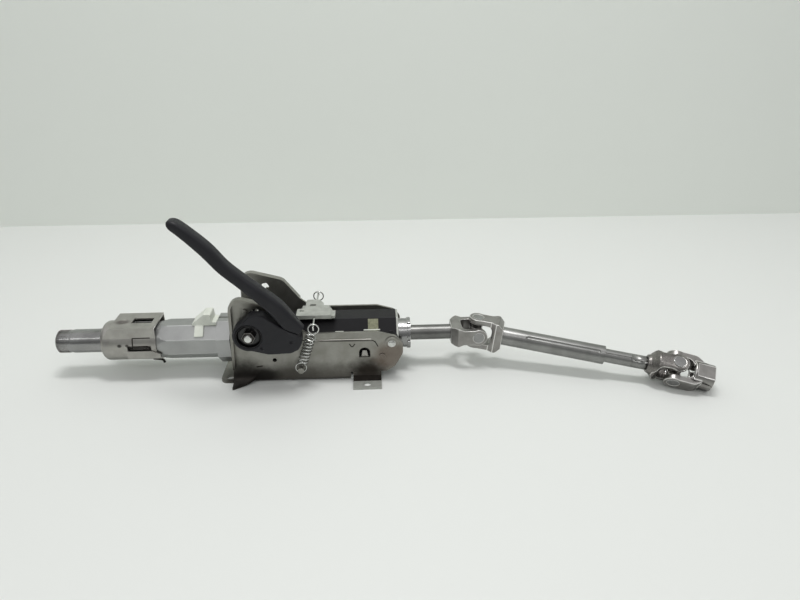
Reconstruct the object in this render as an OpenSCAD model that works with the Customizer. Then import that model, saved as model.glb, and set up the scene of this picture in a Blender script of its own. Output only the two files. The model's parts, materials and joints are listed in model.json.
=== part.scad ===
// Adjustable steering column with its mounting console and intermediate shaft.
// The column lies on the face that bolts to the car body, the steering wheel end points along -x,
// z is up from the mounting face and the origin is midway between the mounting holes.

/* [Mounting console] */
// Height of the column axis above the mounting face
axis_h = 42; // [41:0.5:46]
// Clear width between the two cheeks
cheek_gap = 66; // [64:0.5:74]
// Thickness of the console sheet
sheet_t = 3; // [2:0.25:4]
// Outside bend radius of the console channel
bend_r = 6; // [4.5:0.5:8]
// Distance between the front and rear mounting holes
hole_pitch = 162; // [156:1:172]
// Distance between the two front mounting holes
front_hole_span = 54; // [44:1:60]
// Distance of the rear mounting holes from the outside of the cheek
rear_hole_out = 14; // [13:0.5:18]
// Radius of the mounting holes
mount_hole_r = 4.5; // [3:0.25:5]
// Height of the cheeks at the clamp
cheek_h = 108; // [104:1:114]
// Height of the cheeks at the pivot
rear_h = 63.5; // [62:0.5:66]
// Width of the rim folded out from the cheeks
rim_w = 5; // [3:0.5:5.5]
// Radius of the flare at the front of the cheeks
flare_r = 15; // [12:0.5:20]
// Length of each rear foot along the column
foot_len = 33; // [26:1:38]
// Radius of the bend above each rear foot
foot_bend_r = 8; // [5:0.5:9]

/* [Tilt and clamp] */
// Distance of the tilt pivot behind the middle of the mounting holes
pivot_x = 110; // [106:0.5:114]
// Height of the tilt pivot above the column axis
pivot_rise = 7; // [4:0.5:8]
// Radius of the pivot pins
pivot_r = 4.5; // [3.5:0.25:5]
// Wall of the pivot bushes
pivot_bush_t = 1.6; // [1:0.1:2]
// Distance of the clamp bolt ahead of the middle of the mounting holes
clamp_ahead = 47.5; // [44:0.5:52]
// Gap between the jacket and the clamp bolt
bolt_gap = 4; // [3:0.5:6]
// Radius of the clamp bolt
bolt_r = 4; // [3:0.25:4.5]
// Width across the flats of the clamp nut
nut_af = 13; // [11:0.5:15]
// Tilt travel of the column in degrees
tilt_range = 5; // [3:0.5:6]
// Number of teeth on each tilt rack
rack_teeth = 15; // [9:1:20]

/* [Column tubes] */
// Width across the flats of the sliding jacket
jacket_af = 44; // [41:0.5:46]
// Wall of the jacket at its flats
jacket_wall = 2.4; // [1.5:0.1:3]
// Length of the jacket
jacket_len = 273; // [264:1:284]
// Length of the jacket outside the guide tube
jacket_out = 131; // [126:1:140]
// Thickness of the slide bushes
bush_t = 1.83; // [1.2:0.1:3]
// Length of each slide bush
bush_len = 22; // [14:1:26]
// Wall of the guide tube
guide_wall = 3; // [2:0.25:3.5]
// Length of the guide tube
guide_len = 208; // [200:1:216]
// Distance of the guide tube's mouth ahead of the pivot
guide_ahead = 202; // [196:1:206]
// Length of the lock housing
housing_len = 70; // [66:1:76]
// Wall of the lock housing
housing_t = 1.9; // [1.2:0.1:2.4]
// Height of the flat roof of the lock housing above the column axis
roof_rise = 25; // [24.5:0.5:28]
// Width of the flat roof of the lock housing
roof_w = 40; // [34:1:43]

/* [Steering shaft] */
// Radius of the upper shaft
shaft_r = 14; // [12.5:0.25:14.5]
// Radius of the splined end that carries the steering wheel
spline_r = 13.2; // [11:0.2:13.4]
// Length of the splined end
spline_len = 16; // [12:1:22]
// Length of the upper shaft outside the lock housing
shaft_out = 49; // [42:1:58]
// Radius of the threaded hole for the steering wheel bolt
thread_r = 7.2; // [5:0.2:8]
// Depth of the threaded hole
thread_depth = 26; // [16:1:32]
// Radius of the lower shaft
lower_r = 9; // [8:0.25:9.5]
// Distance from the guide tube to the first universal joint
joint_out = 98.5; // [92:0.5:106]
// Width of the bearings
bearing_w = 11; // [8:0.5:12]

/* [Universal joints] */
// Distance over the closed ends of a pair of bearing cups
joint_span = 38; // [36:0.5:42]
// Radius of the bearing cups
cup_r = 6.5; // [5.5:0.25:7]
// Radius of the cross trunnions
trunnion_r = 4.2; // [3.5:0.1:4.5]
// Thickness of the fork arms
arm_t = 6.4; // [5.5:0.1:7]
// Height of the fork arms
arm_h = 19; // [17:0.5:20]
// Radius of the eyes at the ends of the fork arms
eye_r = 10.5; // [9.8:0.1:11]
// Depth of the fork from the joint centre to its throat
throat = 19; // [18:0.5:22]

/* [Intermediate shaft] */
// Distance between the two universal joints
joint_gap = 232; // [226:1:244]
// Bend of the first joint down from the column axis in degrees
mid_pitch = 5.5; // [0:0.1:7]
// Bend of the first joint to the side in degrees
mid_yaw = -16; // [-18:0.5:18]
// Turn of the second joint about the shaft in degrees
mid_phase = -57; // [-90:1:90]
// Bend of the second joint in degrees
end_bend = 5; // [-10:0.5:10]
// Radius of the outer shaft tube
tube_r = 11; // [10:0.25:12]
// Length of the outer shaft tube
tube_len = 128; // [116:1:132]
// Radius of the splined inner shaft
inner_r = 8; // [7:0.25:8.5]
// Length of the inner shaft
inner_len = 130; // [118:1:136]
// Radius of the clamp bore for the steering gear pinion
pinion_r = 9; // [7:0.25:9.5]
// Length of the clamp bore
pinion_len = 22; // [18:1:26]
// Turn of the pinch clamp about the end yoke in degrees
clamp_turn = -40; // [-55:1:-30]

/* [Lever] */
// Radius of the lever boss around the clamp bolt
boss_r = 18; // [16:0.5:19]
// Thickness of the lever hub
hub_t = 13.5; // [12:0.5:16]
// Length of the lever handle from the fold to the tip
handle_len = 178; // [160:1:190]
// Slope of the lever handle in degrees
handle_slope = 47; // [44:0.5:50]
// Width of the lever handle across the column
handle_w = 17.5; // [14:0.5:20]
// Thickness of the lever handle at its grip
handle_t = 12; // [10:0.5:13]

/* [Springs] */
// Mean radius of the spring coils
coil_r = 5.5; // [5:0.25:6.5]
// Radius of the spring wire
wire_r = 0.8; // [0.6:0.1:1]
// Number of coils in each spring
coil_turns = 8; // [6:1:10]
// Radius of the wire that carries the upper ends of the springs
bail_r = 1.1; // [0.9:0.1:1.4]

/* [Hidden] */
$fn = 48;

// Clearances between pieces that run on each other, slide past each other or are seated
run_gap = 0.05;
slide_gap = 0.15;
pass_gap = 0.4;
seat_gap = 0.02;

// Widths across the column
half_in = cheek_gap / 2;
half_out = half_in + sheet_t;
guide_af = jacket_af + 2 * (slide_gap + bush_t + seat_gap) + 2 * guide_wall;
guide_in_af = guide_af - 2 * guide_wall;
friction_t = 1.7;
ear_out = half_in - friction_t - pass_gap;

// Places along the column
guide_x0 = pivot_x - guide_ahead;
guide_x1 = guide_x0 + guide_len;
jacket_x0 = guide_x0 - jacket_out;
jacket_x1 = jacket_x0 + jacket_len;
housing_x0 = jacket_x0 - 9;
housing_x1 = housing_x0 + housing_len;
tip_x = housing_x0 - shaft_out;
joint_x = guide_x1 + joint_out;
clamp_x = -clamp_ahead;
clamp_z = axis_h + jacket_af / 2 + bolt_gap + bolt_r;
pivot_z = axis_h + pivot_rise;

// Console outline
front_hole_x = -hole_pitch / 2;
rear_hole_x = hole_pitch / 2;
rear_hole_y = half_out + rear_hole_out;
cheek_x0 = front_hole_x + 6.6;
cheek_lean = 5;
foot_x0 = rear_hole_x - foot_len / 2;
foot_x1 = rear_hole_x + foot_len / 2;
foot_top = foot_bend_r + sheet_t;
shoulder_x = clamp_x + 29.5;
saddle_x = clamp_x + 47.5;
cheek_outline = [
    [cheek_x0, 0, 0],
    [foot_x0 - 3, 0, 0],
    [foot_x0 - 3, foot_top, 0],
    [pivot_x - 6, foot_top, 4],
    [pivot_x + 4, pivot_z - 31, 6],
    [pivot_x + 13, pivot_z - 14, 9],
    [pivot_x + 13, pivot_z - 1, 7],
    [pivot_x + 5, pivot_z + 8.5, 6],
    [pivot_x - 16, rear_h, 8],
    [saddle_x + 14, rear_h, 8],
    [saddle_x, rear_h + 11.5, 6],
    [shoulder_x, cheek_h - 11.5, 12],
    [cheek_x0 + cheek_lean, cheek_h, 13]
];

// Tilt slot, on an arc about the pivot
slot_half = bolt_r + 1.3;
bolt_arm = norm([clamp_x - pivot_x, clamp_z - pivot_z]);
bolt_angle = atan2(clamp_z - pivot_z, clamp_x - pivot_x);

// Stack on the clamp bolt, outwards from the cheek on the lever side
cam_y = half_out + 0.1;
rack_t = 2;
cam_base_t = rack_t + 0.3;
cam_block_len = 18;
cam_disc_t = 1.3;
cam_r = 11;
moving_cam_y = cam_y + cam_base_t + cam_disc_t + run_gap;
moving_cam_t = 2.85;
lever_y = moving_cam_y + moving_cam_t + run_gap;
hub_floor_t = 7.5;
washer_t = 2;
nut_t = 6.5;

// Springs, hung between the bail on the guide and the posts on the console
spring_y = half_out + coil_r + wire_r + 0.5;
loop_r = 6;
post_r = 2;
post_x = saddle_x + 5;
post_z = 20.4;
bail_x = saddle_x + 22;
bail_z = axis_h + guide_af / 2 + 7.9;
loop_low = [post_x, post_z + loop_r - post_r - wire_r - pass_gap];
loop_high = [bail_x, bail_z - loop_r + bail_r + wire_r + pass_gap];

// Places inside the column
jacket_bore_r = jacket_af / 2 - jacket_wall;
jacket_round_r = jacket_af / 2 - 0.5;
housing_in_r = jacket_round_r + run_gap;
housing_r = housing_in_r + housing_t;
window_x0 = housing_x0 + 40.5;
window_x1 = housing_x0 + 63.5;
upper_bearing_x = jacket_x0 + 1;
race_r = shaft_r + 2.5;
end_plate_x = guide_x1 - 12;
lower_bearing_r = lower_r + 8;
lower_race_r = lower_r + 4;
collar_x = guide_x1 + 2.4;
collar_len = 15;

// Universal joint sizes
gap_half = joint_span / 2 - arm_t;
hub_x = throat + 13;
tube_x0 = 24;
tube_x1 = tube_x0 + tube_len;
inner_x1 = joint_gap - 34;
inner_x0 = inner_x1 - inner_len;
neck_x = joint_gap - 46;
key_r = 1.2;
key_count = 4;

// Small geometry helpers
function unit(v) = v / norm(v);
function flat(p) = [p[0], p[1]];
function polar(r, a) = [r * cos(a), r * sin(a)];
function item(list, i) = list[(i + len(list)) % len(list)];

// Points of the fillet of radius r between the lines a to b and b to c
function corner_arc(a, b, c, r, n) =
    let (
        u = unit(a - b),
        w = unit(c - b),
        half = acos(u * w) / 2,
        mid = b + unit(u + w) * r / sin(half),
        p = b + u * r / tan(half) - mid,
        q = b + w * r / tan(half) - mid,
        start = atan2(p[1], p[0]),
        turn = (atan2(q[1], q[0]) - start + 540) % 360 - 180
    )
    [for (i = [0 : n]) mid + polar(r, start + turn * i / n)];

// Outline with a fillet on each corner that is given as x, y, radius
function rounded(pts, n = 6) = [
    for (i = [0 : len(pts) - 1])
        each pts[i][2] > 0
            ? corner_arc(flat(item(pts, i - 1)), flat(pts[i]), flat(item(pts, i + 1)), pts[i][2], n)
            : [flat(pts[i])]
];

// The same outline moved inwards by t, for corners listed anticlockwise
function inset(pts, t) = [
    for (i = [0 : len(pts) - 1])
        let (
            d1 = unit(flat(pts[i]) - flat(item(pts, i - 1))),
            d2 = unit(flat(item(pts, i + 1)) - flat(pts[i])),
            n1 = [-d1[1], d1[0]],
            n2 = [-d2[1], d2[0]],
            p = flat(pts[i]) + t * (n1 + n2) / (1 + n1 * n2),
            side = sign(d1[0] * d2[1] - d1[1] * d2[0])
        )
        [p[0], p[1], pts[i][2] > 0 ? max(pts[i][2] - side * t, 0.5) : 0]
];

// Normals carried along a path without twisting
function path_tangent(path, i) =
    unit(path[min(i + 1, len(path) - 1)] - path[max(i - 1, 0)]);
function carry(n, t) = unit(n - (n * t) * t);
function path_normals(path, first) = [
    for (i = 0, n = carry(first, path_tangent(path, 0)); i < len(path);
         i = i + 1, n = i < len(path) ? carry(n, path_tangent(path, i)) : n)
        n
];

// Faces of a closed skin over rings of equal length
function skin_faces(rings, sides) = concat(
    [[for (k = [0 : sides - 1]) k]],
    [for (i = [0 : rings - 2], k = [0 : sides - 1])
        [i * sides + k, (i + 1) * sides + k, i * sides + (k + 1) % sides]],
    [for (i = [0 : rings - 2], k = [0 : sides - 1])
        [(i + 1) * sides + k, (i + 1) * sides + (k + 1) % sides, i * sides + (k + 1) % sides]],
    [[for (k = [sides - 1 : -1 : 0]) (rings - 1) * sides + k]]
);

// Round wire along a path
module wire(path, r, first, sides = 8) {
    normals = path_normals(path, first);
    points = [
        for (i = [0 : len(path) - 1], k = [0 : sides - 1])
            let (b = cross(path_tangent(path, i), normals[i]), a = 360 * k / sides)
            path[i] + r * (cos(a) * normals[i] + sin(a) * b)
    ];
    polyhedron(points, skin_faces(len(path), sides), convexity = 10);
}

// Profile in y and z, run along x from a to b
module run_x(a, b) {
    translate([a, 0, 0])
        rotate([90, 0, 90])
            linear_extrude(b - a)
                children();
}

// Profile in x and z, run along y from a to b
module run_y(a, b) {
    translate([0, b, 0])
        rotate([90, 0, 0])
            linear_extrude(b - a)
                children();
}

// Profile of radius and x, turned about the x axis
module turn_x() {
    rotate([90, 0, 90])
        rotate_extrude()
            children();
}

module rod_x(r, a, b) {
    translate([a, 0, 0])
        rotate([0, 90, 0])
            cylinder(r = r, h = b - a);
}

module rod_y(r, a, b) {
    translate([0, a, 0])
        rotate([-90, 0, 0])
            cylinder(r = r, h = b - a);
}

module ring_x(r_in, r_out, a, b) {
    difference() {
        rod_x(r_out, a, b);
        rod_x(r_in, a - 1, b + 1);
    }
}

module ring_y(r_in, r_out, a, b) {
    difference() {
        rod_y(r_out, a, b);
        rod_y(r_in, a - 1, b + 1);
    }
}

module hex_y(af, a, b) {
    translate([0, a, 0])
        rotate([-90, 0, 0])
            cylinder(r = af / 2 / cos(30), h = b - a, $fn = 6);
}

module octagon(af) {
    rotate(22.5)
        circle(r = af / 2 / cos(22.5), $fn = 8);
}

module on_axis() {
    translate([0, 0, axis_h])
        children();
}

module at_clamp() {
    translate([clamp_x, 0, clamp_z])
        children();
}

module at_pivot() {
    translate([pivot_x, 0, pivot_z])
        children();
}

module left_of() {
    mirror([0, 1, 0])
        children();
}

module both_sides() {
    children();
    left_of()
        children();
}

// Frames that follow the bent intermediate shaft
module at_joint_1() {
    translate([joint_x, 0, axis_h])
        children();
}

module on_mid_shaft() {
    at_joint_1()
        rotate([0, mid_pitch, 0])
            rotate([0, 0, mid_yaw])
                children();
}

module at_joint_2() {
    on_mid_shaft()
        translate([joint_gap, 0, 0])
            rotate([mid_phase, 0, 0])
                children();
}

// Turns a fork that opens along +x so that it opens along -x with its arms on z
module facing_fork() {
    rotate([90, 0, 0])
        rotate([0, 0, 180])
            children();
}

// Mounting console
module channel_floor(half, r) {
    translate([-half, r])
        square([2 * half, cheek_h]);
    translate([-half + r, 0])
        square([2 * (half - r), r + 1]);
    for (side = [-1, 1])
        translate([side * (half - r), r])
            circle(r = r);
}

module quarter_bend(r, t) {
    intersection() {
        difference() {
            circle(r = r + t);
            circle(r = r);
        }
        translate([0, -(r + t) * 2])
            square((r + t) * 2);
    }
}

module cheek_rim() {
    rim_end = saddle_x + 1;
    rim_foot = flare_r + 6;
    run_y(-half_out - rim_w, -half_out)
        intersection() {
            difference() {
                polygon(rounded(cheek_outline));
                polygon(rounded(inset(cheek_outline, sheet_t)));
            }
            translate([cheek_x0 - 1, rim_foot])
                square([rim_end - cheek_x0, cheek_h]);
        }
}

module front_flare() {
    flare_t = sheet_t - 0.5;
    flare_y = half_out + flare_r - 0.25;
    flare_x1 = cheek_x0 + 31;
    intersection() {
        run_x(cheek_x0, flare_x1)
            translate([-flare_y, flare_r + flare_t])
                quarter_bend(flare_r, flare_t);
        linear_extrude(cheek_h)
            polygon([
                [cheek_x0 - 1, -flare_y - 1],
                [flare_x1, -half_out + 1],
                [flare_x1, 0],
                [cheek_x0 - 1, 0]
            ]);
    }
}

module rear_foot() {
    flat_y = half_out + foot_bend_r;
    run_x(foot_x0, foot_x1) {
        translate([-flat_y, foot_top])
            quarter_bend(foot_bend_r, sheet_t);
        translate([-rear_hole_y - mount_hole_r - 3, 0])
            square([rear_hole_y + mount_hole_r + 3 - flat_y, sheet_t]);
    }
}

module tilt_slot() {
    translate([pivot_x, pivot_z]) {
        intersection() {
            difference() {
                circle(r = bolt_arm + slot_half, $fn = 200);
                circle(r = bolt_arm - slot_half, $fn = 200);
            }
            polygon([
                [0, 0],
                polar(2 * bolt_arm, bolt_angle - tilt_range),
                polar(2 * bolt_arm, bolt_angle)
            ]);
        }
        for (a = [bolt_angle, bolt_angle - tilt_range])
            translate(polar(bolt_arm, a))
                circle(r = slot_half);
    }
}

plug_x = pivot_x - 31.5;
plug_z = pivot_z - 12;
plug_r = 6.5;

module arch(r) {
    translate([plug_x, plug_z])
        circle(r = r);
    translate([plug_x - r, plug_z - r])
        square([2 * r, r]);
}

rivet_x = pivot_x - 11;
rivet_z = pivot_z - 17.5;
rivet_r = 2.2;
bush_seat_r = pivot_r + pivot_bush_t + run_gap + seat_gap;

module console() {
    tongue_x0 = front_hole_x - mount_hole_r - 5.5;
    tongue_half = front_hole_span / 2 + mount_hole_r + 4.5;
    bead_z = rear_h - 9.5;
    bead_r = 1.5;
    bead_x0 = saddle_x + 22;
    bead_x1 = pivot_x - 24;
    ring_t = 1;
    lightening_r = 14;
    color("#7d7c75")
        difference() {
            union() {
                intersection() {
                    run_x(cheek_x0 - 1, pivot_x + 30)
                        difference() {
                            channel_floor(half_out, bend_r);
                            translate([0, sheet_t])
                                channel_floor(half_in, bend_r - sheet_t);
                        }
                    run_y(-half_out - 1, half_out + 1)
                        polygon(rounded(cheek_outline));
                }
                linear_extrude(sheet_t)
                    polygon(rounded([
                        [tongue_x0, -tongue_half, 8],
                        [cheek_x0 + 9, -tongue_half, 0],
                        [cheek_x0 + 9, tongue_half, 0],
                        [tongue_x0, tongue_half, 8]
                    ]));
                both_sides() {
                    cheek_rim();
                    front_flare();
                    rear_foot();
                    at_pivot()
                        rod_y(bush_seat_r + 2.1, -half_out - ring_t, -half_in);
                    translate([0, -half_out, bead_z]) {
                        rod_x(bead_r, bead_x0, bead_x1);
                        for (x = [bead_x0, bead_x1])
                            translate([x, 0, 0])
                                sphere(r = bead_r);
                    }
                }
            }
            run_y(-half_out - 1, half_out + 1)
                tilt_slot();
            at_pivot()
                rod_y(bush_seat_r, -half_out - 2, half_out + 2);
            run_y(-half_out - 1, half_out + 1)
                arch(plug_r);
            translate([rivet_x, 0, rivet_z])
                rod_y(rivet_r, -half_out - 1, half_out + 1);
            translate([clamp_x + 22, 0, post_z + 9.6])
                rod_y(2.5, -half_out - 1, half_out + 1);
            translate([post_x, 0, post_z])
                rod_y(post_r, -half_out - 1, half_out + 1);
            for (side = [-1, 1]) {
                translate([front_hole_x, side * front_hole_span / 2, -1])
                    cylinder(r = mount_hole_r, h = sheet_t + 2);
                translate([rear_hole_x, side * rear_hole_y, -1])
                    cylinder(r = mount_hole_r, h = sheet_t + 2);
                translate([side * lightening_r * 2, 0, -1])
                    cylinder(r = lightening_r, h = sheet_t + 2);
            }
        }
}

module tilt_rack() {
    tip_r = bolt_arm + slot_half + 0.9;
    root_r = tip_r + 2;
    back_r = root_r + 3.5;
    rack_top = cheek_h - 11;
    low = bolt_angle + 2.5;
    high = 180 - asin((rack_top - pivot_z) / back_r);
    steps = rack_teeth * 2;
    color("#6d6b66")
        run_y(-half_out - rack_t, -half_out)
            translate([pivot_x, pivot_z])
                polygon(concat(
                    [for (i = [0 : steps])
                        polar(i % 2 == 0 ? root_r : tip_r, low + (high - low) * i / steps)],
                    [polar(back_r, high), polar(back_r, (low + high) / 2), polar(back_r, low)]
                ));
}

module pivot_bush() {
    flange_t = 0.6;
    color("#c9c9c2")
        at_pivot()
            difference() {
                union() {
                    rod_y(bush_seat_r - seat_gap, -half_out - 1, -half_in);
                    rod_y(bush_seat_r + 1.4, -half_out - 1 - flange_t, -half_out - 1);
                }
                rod_y(pivot_r + run_gap, -half_out - 3, -half_in + 1);
            }
}

module side_plug() {
    tab_half = plug_r - 2.5;
    tab_t = 1.4;
    color("#b9b8b0")
        run_y(-half_in - tab_t, -half_in)
            translate([plug_x, plug_z])
                polygon([
                    [-tab_half, -plug_r],
                    [tab_half, -plug_r],
                    [tab_half * 0.6, 1.5],
                    [-tab_half * 0.6, 1.5]
                ]);
}

module spring_posts() {
    head_r = post_r + 1.6;
    end_y = spring_y + wire_r + 1;
    color("#8b8a85")
        both_sides()
            translate([post_x, 0, post_z]) {
                rod_y(post_r - seat_gap, -end_y, -half_in);
                rod_y(head_r, -end_y - 1.6, -end_y);
                rod_y(head_r, -half_out - 1.2, -half_out);
            }
}

module console_rivets() {
    head_h = 1.4;
    color("#8f8d86")
        both_sides()
            translate([rivet_x, 0, rivet_z]) {
                rod_y(rivet_r - seat_gap, -half_out, -half_in);
                rod_y(rivet_r + 1.4, -half_out - head_h, -half_out);
            }
}

// Guide tube and clamp
module guide_tube() {
    boss_y = half_in - pass_gap;
    boss_r = pivot_r + 4;
    lug_x0 = min(guide_x1, pivot_x) - 24;
    lug_low = pivot_z - boss_r;
    lug_top = axis_h + guide_af / 2 * tan(22.5);
    slit_half = 2;
    slit_x1 = clamp_x + 28;
    color("#1e1d20")
        difference() {
            union() {
                on_axis()
                    run_x(guide_x0, guide_x1)
                        octagon(guide_af);
                run_y(-boss_y, boss_y) {
                    translate([pivot_x, pivot_z])
                        circle(r = boss_r);
                    translate([lug_x0, lug_low])
                        square([pivot_x - lug_x0, lug_top - lug_low]);
                }
            }
            on_axis() {
                run_x(guide_x0 - 1, guide_x1 + 1)
                    octagon(guide_in_af);
                run_x(guide_x1, guide_x1 + guide_af)
                    octagon(guide_af);
            }
            at_pivot()
                rod_y(pivot_r, -half_out, half_out);
            at_clamp()
                rod_y(bolt_r + pass_gap, -half_out, half_out);
            on_axis()
                translate([guide_x0 - 1, -slit_half, guide_in_af / 2 - 2])
                    cube([slit_x1 - guide_x0, 2 * slit_half, guide_wall + 4]);
        }
}

module clamp_ear() {
    flat_z = guide_af / 2 * tan(22.5);
    inner_y = guide_af / 2 - 7;
    top_z = clamp_z - axis_h + bolt_r + 2.5;
    ear_half = 16;
    low_z = flat_z - 4;
    color("#232225")
        difference() {
            on_axis()
                run_x(clamp_x - ear_half, clamp_x + ear_half)
                    polygon([
                        [-ear_out, low_z],
                        [-guide_af / 2, low_z],
                        [-guide_af / 2, flat_z],
                        [-inner_y, flat_z + guide_af / 2 - inner_y],
                        [-inner_y, top_z],
                        [-ear_out + 3, top_z],
                        [-ear_out, top_z - 3]
                    ]);
            at_clamp()
                rod_y(bolt_r + pass_gap, -half_out, half_out);
        }
}

module friction_plate() {
    plate_r = slot_half + 5;
    color("#77746c")
        at_clamp()
            ring_y(bolt_r + 0.1, plate_r, -ear_out - friction_t, -ear_out);
}

module slide_bush(x) {
    color("#cfcfc8")
        on_axis()
            run_x(x, x + bush_len)
                difference() {
                    octagon(guide_in_af - 2 * seat_gap);
                    octagon(jacket_af + 2 * slide_gap);
                }
}

module slide_bush_front() {
    slide_bush(guide_x0 + 0.5);
}

module slide_bush_rear() {
    slide_bush(clamp_x + 17.5);
}

module end_plate() {
    flange_af = guide_af - 1;
    color("#a7a6a2")
        on_axis()
            difference() {
                union() {
                    run_x(end_plate_x, guide_x1)
                        octagon(guide_in_af - 2 * seat_gap);
                    run_x(guide_x1, collar_x)
                        octagon(flange_af);
                }
                rod_x(lower_bearing_r, end_plate_x - 1, end_plate_x + bearing_w);
                rod_x(lower_race_r + 1, end_plate_x, collar_x + 1);
            }
}

module lower_bearing() {
    color("#9b9a97")
        on_axis()
            translate([end_plate_x, 0, 0])
                ring_x(lower_race_r + run_gap, lower_bearing_r - seat_gap, 0, bearing_w);
}

module bearing_collar() {
    collar_r = lower_bearing_r + 0.5;
    lip_t = 4;
    lug_count = 6;
    color("#85827b")
        on_axis() {
            difference() {
                union() {
                    rod_x(collar_r, collar_x, collar_x + collar_len);
                    rod_x(collar_r + 1.2, collar_x + collar_len - lip_t, collar_x + collar_len);
                }
                rod_x(lower_race_r + 1, collar_x - 1, collar_x + collar_len - lip_t);
                rod_x(lower_r + pass_gap, collar_x, collar_x + collar_len + 1);
                for (i = [0 : lug_count - 1])
                    rotate([360 * i / lug_count, 0, 0])
                        translate([collar_x + collar_len - lip_t, collar_r - 1, -2])
                            cube([lip_t + 1, 4, 4]);
            }
        }
}

module pivot_pins() {
    end_y = half_out + 2.4;
    color("#c8c8c6")
        both_sides()
            at_pivot() {
                rod_y(pivot_r - seat_gap / 2, -end_y, -guide_in_af / 2 - 0.3);
                intersection() {
                    translate([0, -end_y + pivot_r * 1.6, 0])
                        sphere(r = pivot_r * 2);
                    rod_y(pivot_r * 0.8, -end_y - pivot_r, -end_y + 1);
                }
            }
}

bolt_end_y = lever_y + hub_floor_t + washer_t + nut_t + run_gap + 2.5;
far_block_y = half_out + 0.1;

module clamp_bolt() {
    head_h = 5.3;
    head_y = far_block_y + cam_base_t;
    color("#b4b3ae")
        at_clamp() {
            rod_y(bolt_r, -bolt_end_y, head_y);
            hex_y(nut_af, head_y, head_y + head_h);
        }
}

module clamp_nut() {
    nut_y = lever_y + hub_floor_t + run_gap + washer_t;
    color("#c9c9c6")
        at_clamp()
            difference() {
                hex_y(nut_af, -nut_y - nut_t, -nut_y);
                rod_y(bolt_r + seat_gap, -nut_y - nut_t - 1, -nut_y + 1);
            }
}

module clamp_washer() {
    washer_r = 11;
    near_y = lever_y + hub_floor_t + run_gap;
    color("#a9a8a4")
        at_clamp()
            ring_y(bolt_r + seat_gap, washer_r, -near_y - washer_t, -near_y);
}

// Block that rides beside the teeth of a tilt rack
module rack_block() {
    rotate(bolt_angle - 180)
        translate([-slot_half - 0.3, -cam_block_len / 2])
            square([2 * slot_half + 0.6, cam_block_len]);
}

module far_block() {
    color("#7b7974")
        at_clamp()
            difference() {
                union() {
                    run_y(far_block_y, far_block_y + cam_base_t)
                        rack_block();
                    rod_y(slot_half - pass_gap, half_in, far_block_y);
                }
                rod_y(bolt_r + seat_gap, half_in - 1, far_block_y + 10);
            }
}

module fixed_cam() {
    color("#7b7974")
        at_clamp()
            difference() {
                union() {
                    run_y(-cam_y - cam_base_t, -cam_y)
                        rack_block();
                    rod_y(cam_r, -cam_y - cam_base_t - cam_disc_t, -cam_y - cam_base_t);
                    rod_y(slot_half - pass_gap, -cam_y, -half_in);
                }
                rod_y(bolt_r + seat_gap, -cam_y - 10, -half_in + 1);
            }
}

// Balance springs and their bridge
module spring_bridge() {
    seat_z = axis_h + guide_af / 2;
    foot_half = guide_af / 2 * tan(22.5);
    plate_z = seat_z + 6;
    plate_t = 4.5;
    wing_x0 = bail_x - 21;
    wing_x1 = bail_x + 20;
    near_y = -22;
    far_y = 20;
    neck_y = -4;
    lip = 3.5;
    slot_w = 7;
    slot_h = 4;
    color("#a5a7a2")
        difference() {
            union() {
                run_y(-foot_half, foot_half)
                    polygon(rounded([
                        [wing_x0 + 1, seat_z, 0],
                        [wing_x1 - 1, seat_z, 0],
                        [wing_x1 - 5, plate_z + 1, 0],
                        [wing_x0 + 5, plate_z + 1, 0]
                    ]));
                translate([0, 0, plate_z])
                    linear_extrude(plate_t)
                        polygon(rounded([
                            [wing_x0, near_y, 2],
                            [wing_x1, near_y, 2],
                            [wing_x1, neck_y - 1, 2],
                            [bail_x + 10, neck_y + 2, 3],
                            [bail_x + 9, far_y - 10, 4],
                            [bail_x + 3, far_y, 3],
                            [bail_x - 12, far_y, 3],
                            [bail_x - 12, neck_y, 3],
                            [wing_x0, neck_y, 2]
                        ]));
                translate([wing_x1, near_y + 1, plate_z])
                    cube([lip, neck_y - near_y - 4, plate_t - 1.5]);
            }
            translate([bail_x, 0, bail_z])
                rod_y(bail_r, near_y - 1, far_y + 1);
            translate([bail_x - slot_w, 3.2, plate_z - 1])
                cube([slot_w, slot_h, plate_t + 2]);
            translate([wing_x0 + 3, neck_y - 7, plate_z + plate_t - 1.5])
                cube([5, 2.5, 3]);
            translate([wing_x1 - 1.2, near_y - 1, plate_z + plate_t - 1.2])
                cube([1.2, neck_y - near_y + 3, 3]);
        }
}

module spring_bail() {
    end_y = spring_y + wire_r + 1 + bail_r;
    hook_len = 4;
    color("#b9b9b5")
        translate([bail_x, 0, bail_z]) {
            rod_y(bail_r - seat_gap, -end_y, end_y);
            for (side = [-1, 1])
                translate([0, side * end_y, 0]) {
                    sphere(r = bail_r - seat_gap);
                    translate([0, 0, -hook_len])
                        cylinder(r = bail_r - seat_gap, h = hook_len);
                }
        }
}

// One extension spring: a ring at each end and the coil between them
spring_len = norm(loop_high - loop_low);
spring_lean = atan2(loop_high[0] - loop_low[0], loop_high[1] - loop_low[1]);
coil_start = loop_r + 3;
ring_exit = 400;

function ring_point(a) = [loop_r * cos(a), 0, loop_r * sin(a)];
function coil_point(f) =
    let (a = 180 + 360 * coil_turns * f)
    [coil_r * cos(a), coil_r * sin(a), coil_start + (spring_len - 2 * coil_start) * f];
function bezier(a, b, c, d, t) =
    pow(1 - t, 3) * a + 3 * t * pow(1 - t, 2) * b + 3 * t * t * (1 - t) * c + pow(t, 3) * d;

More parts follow.
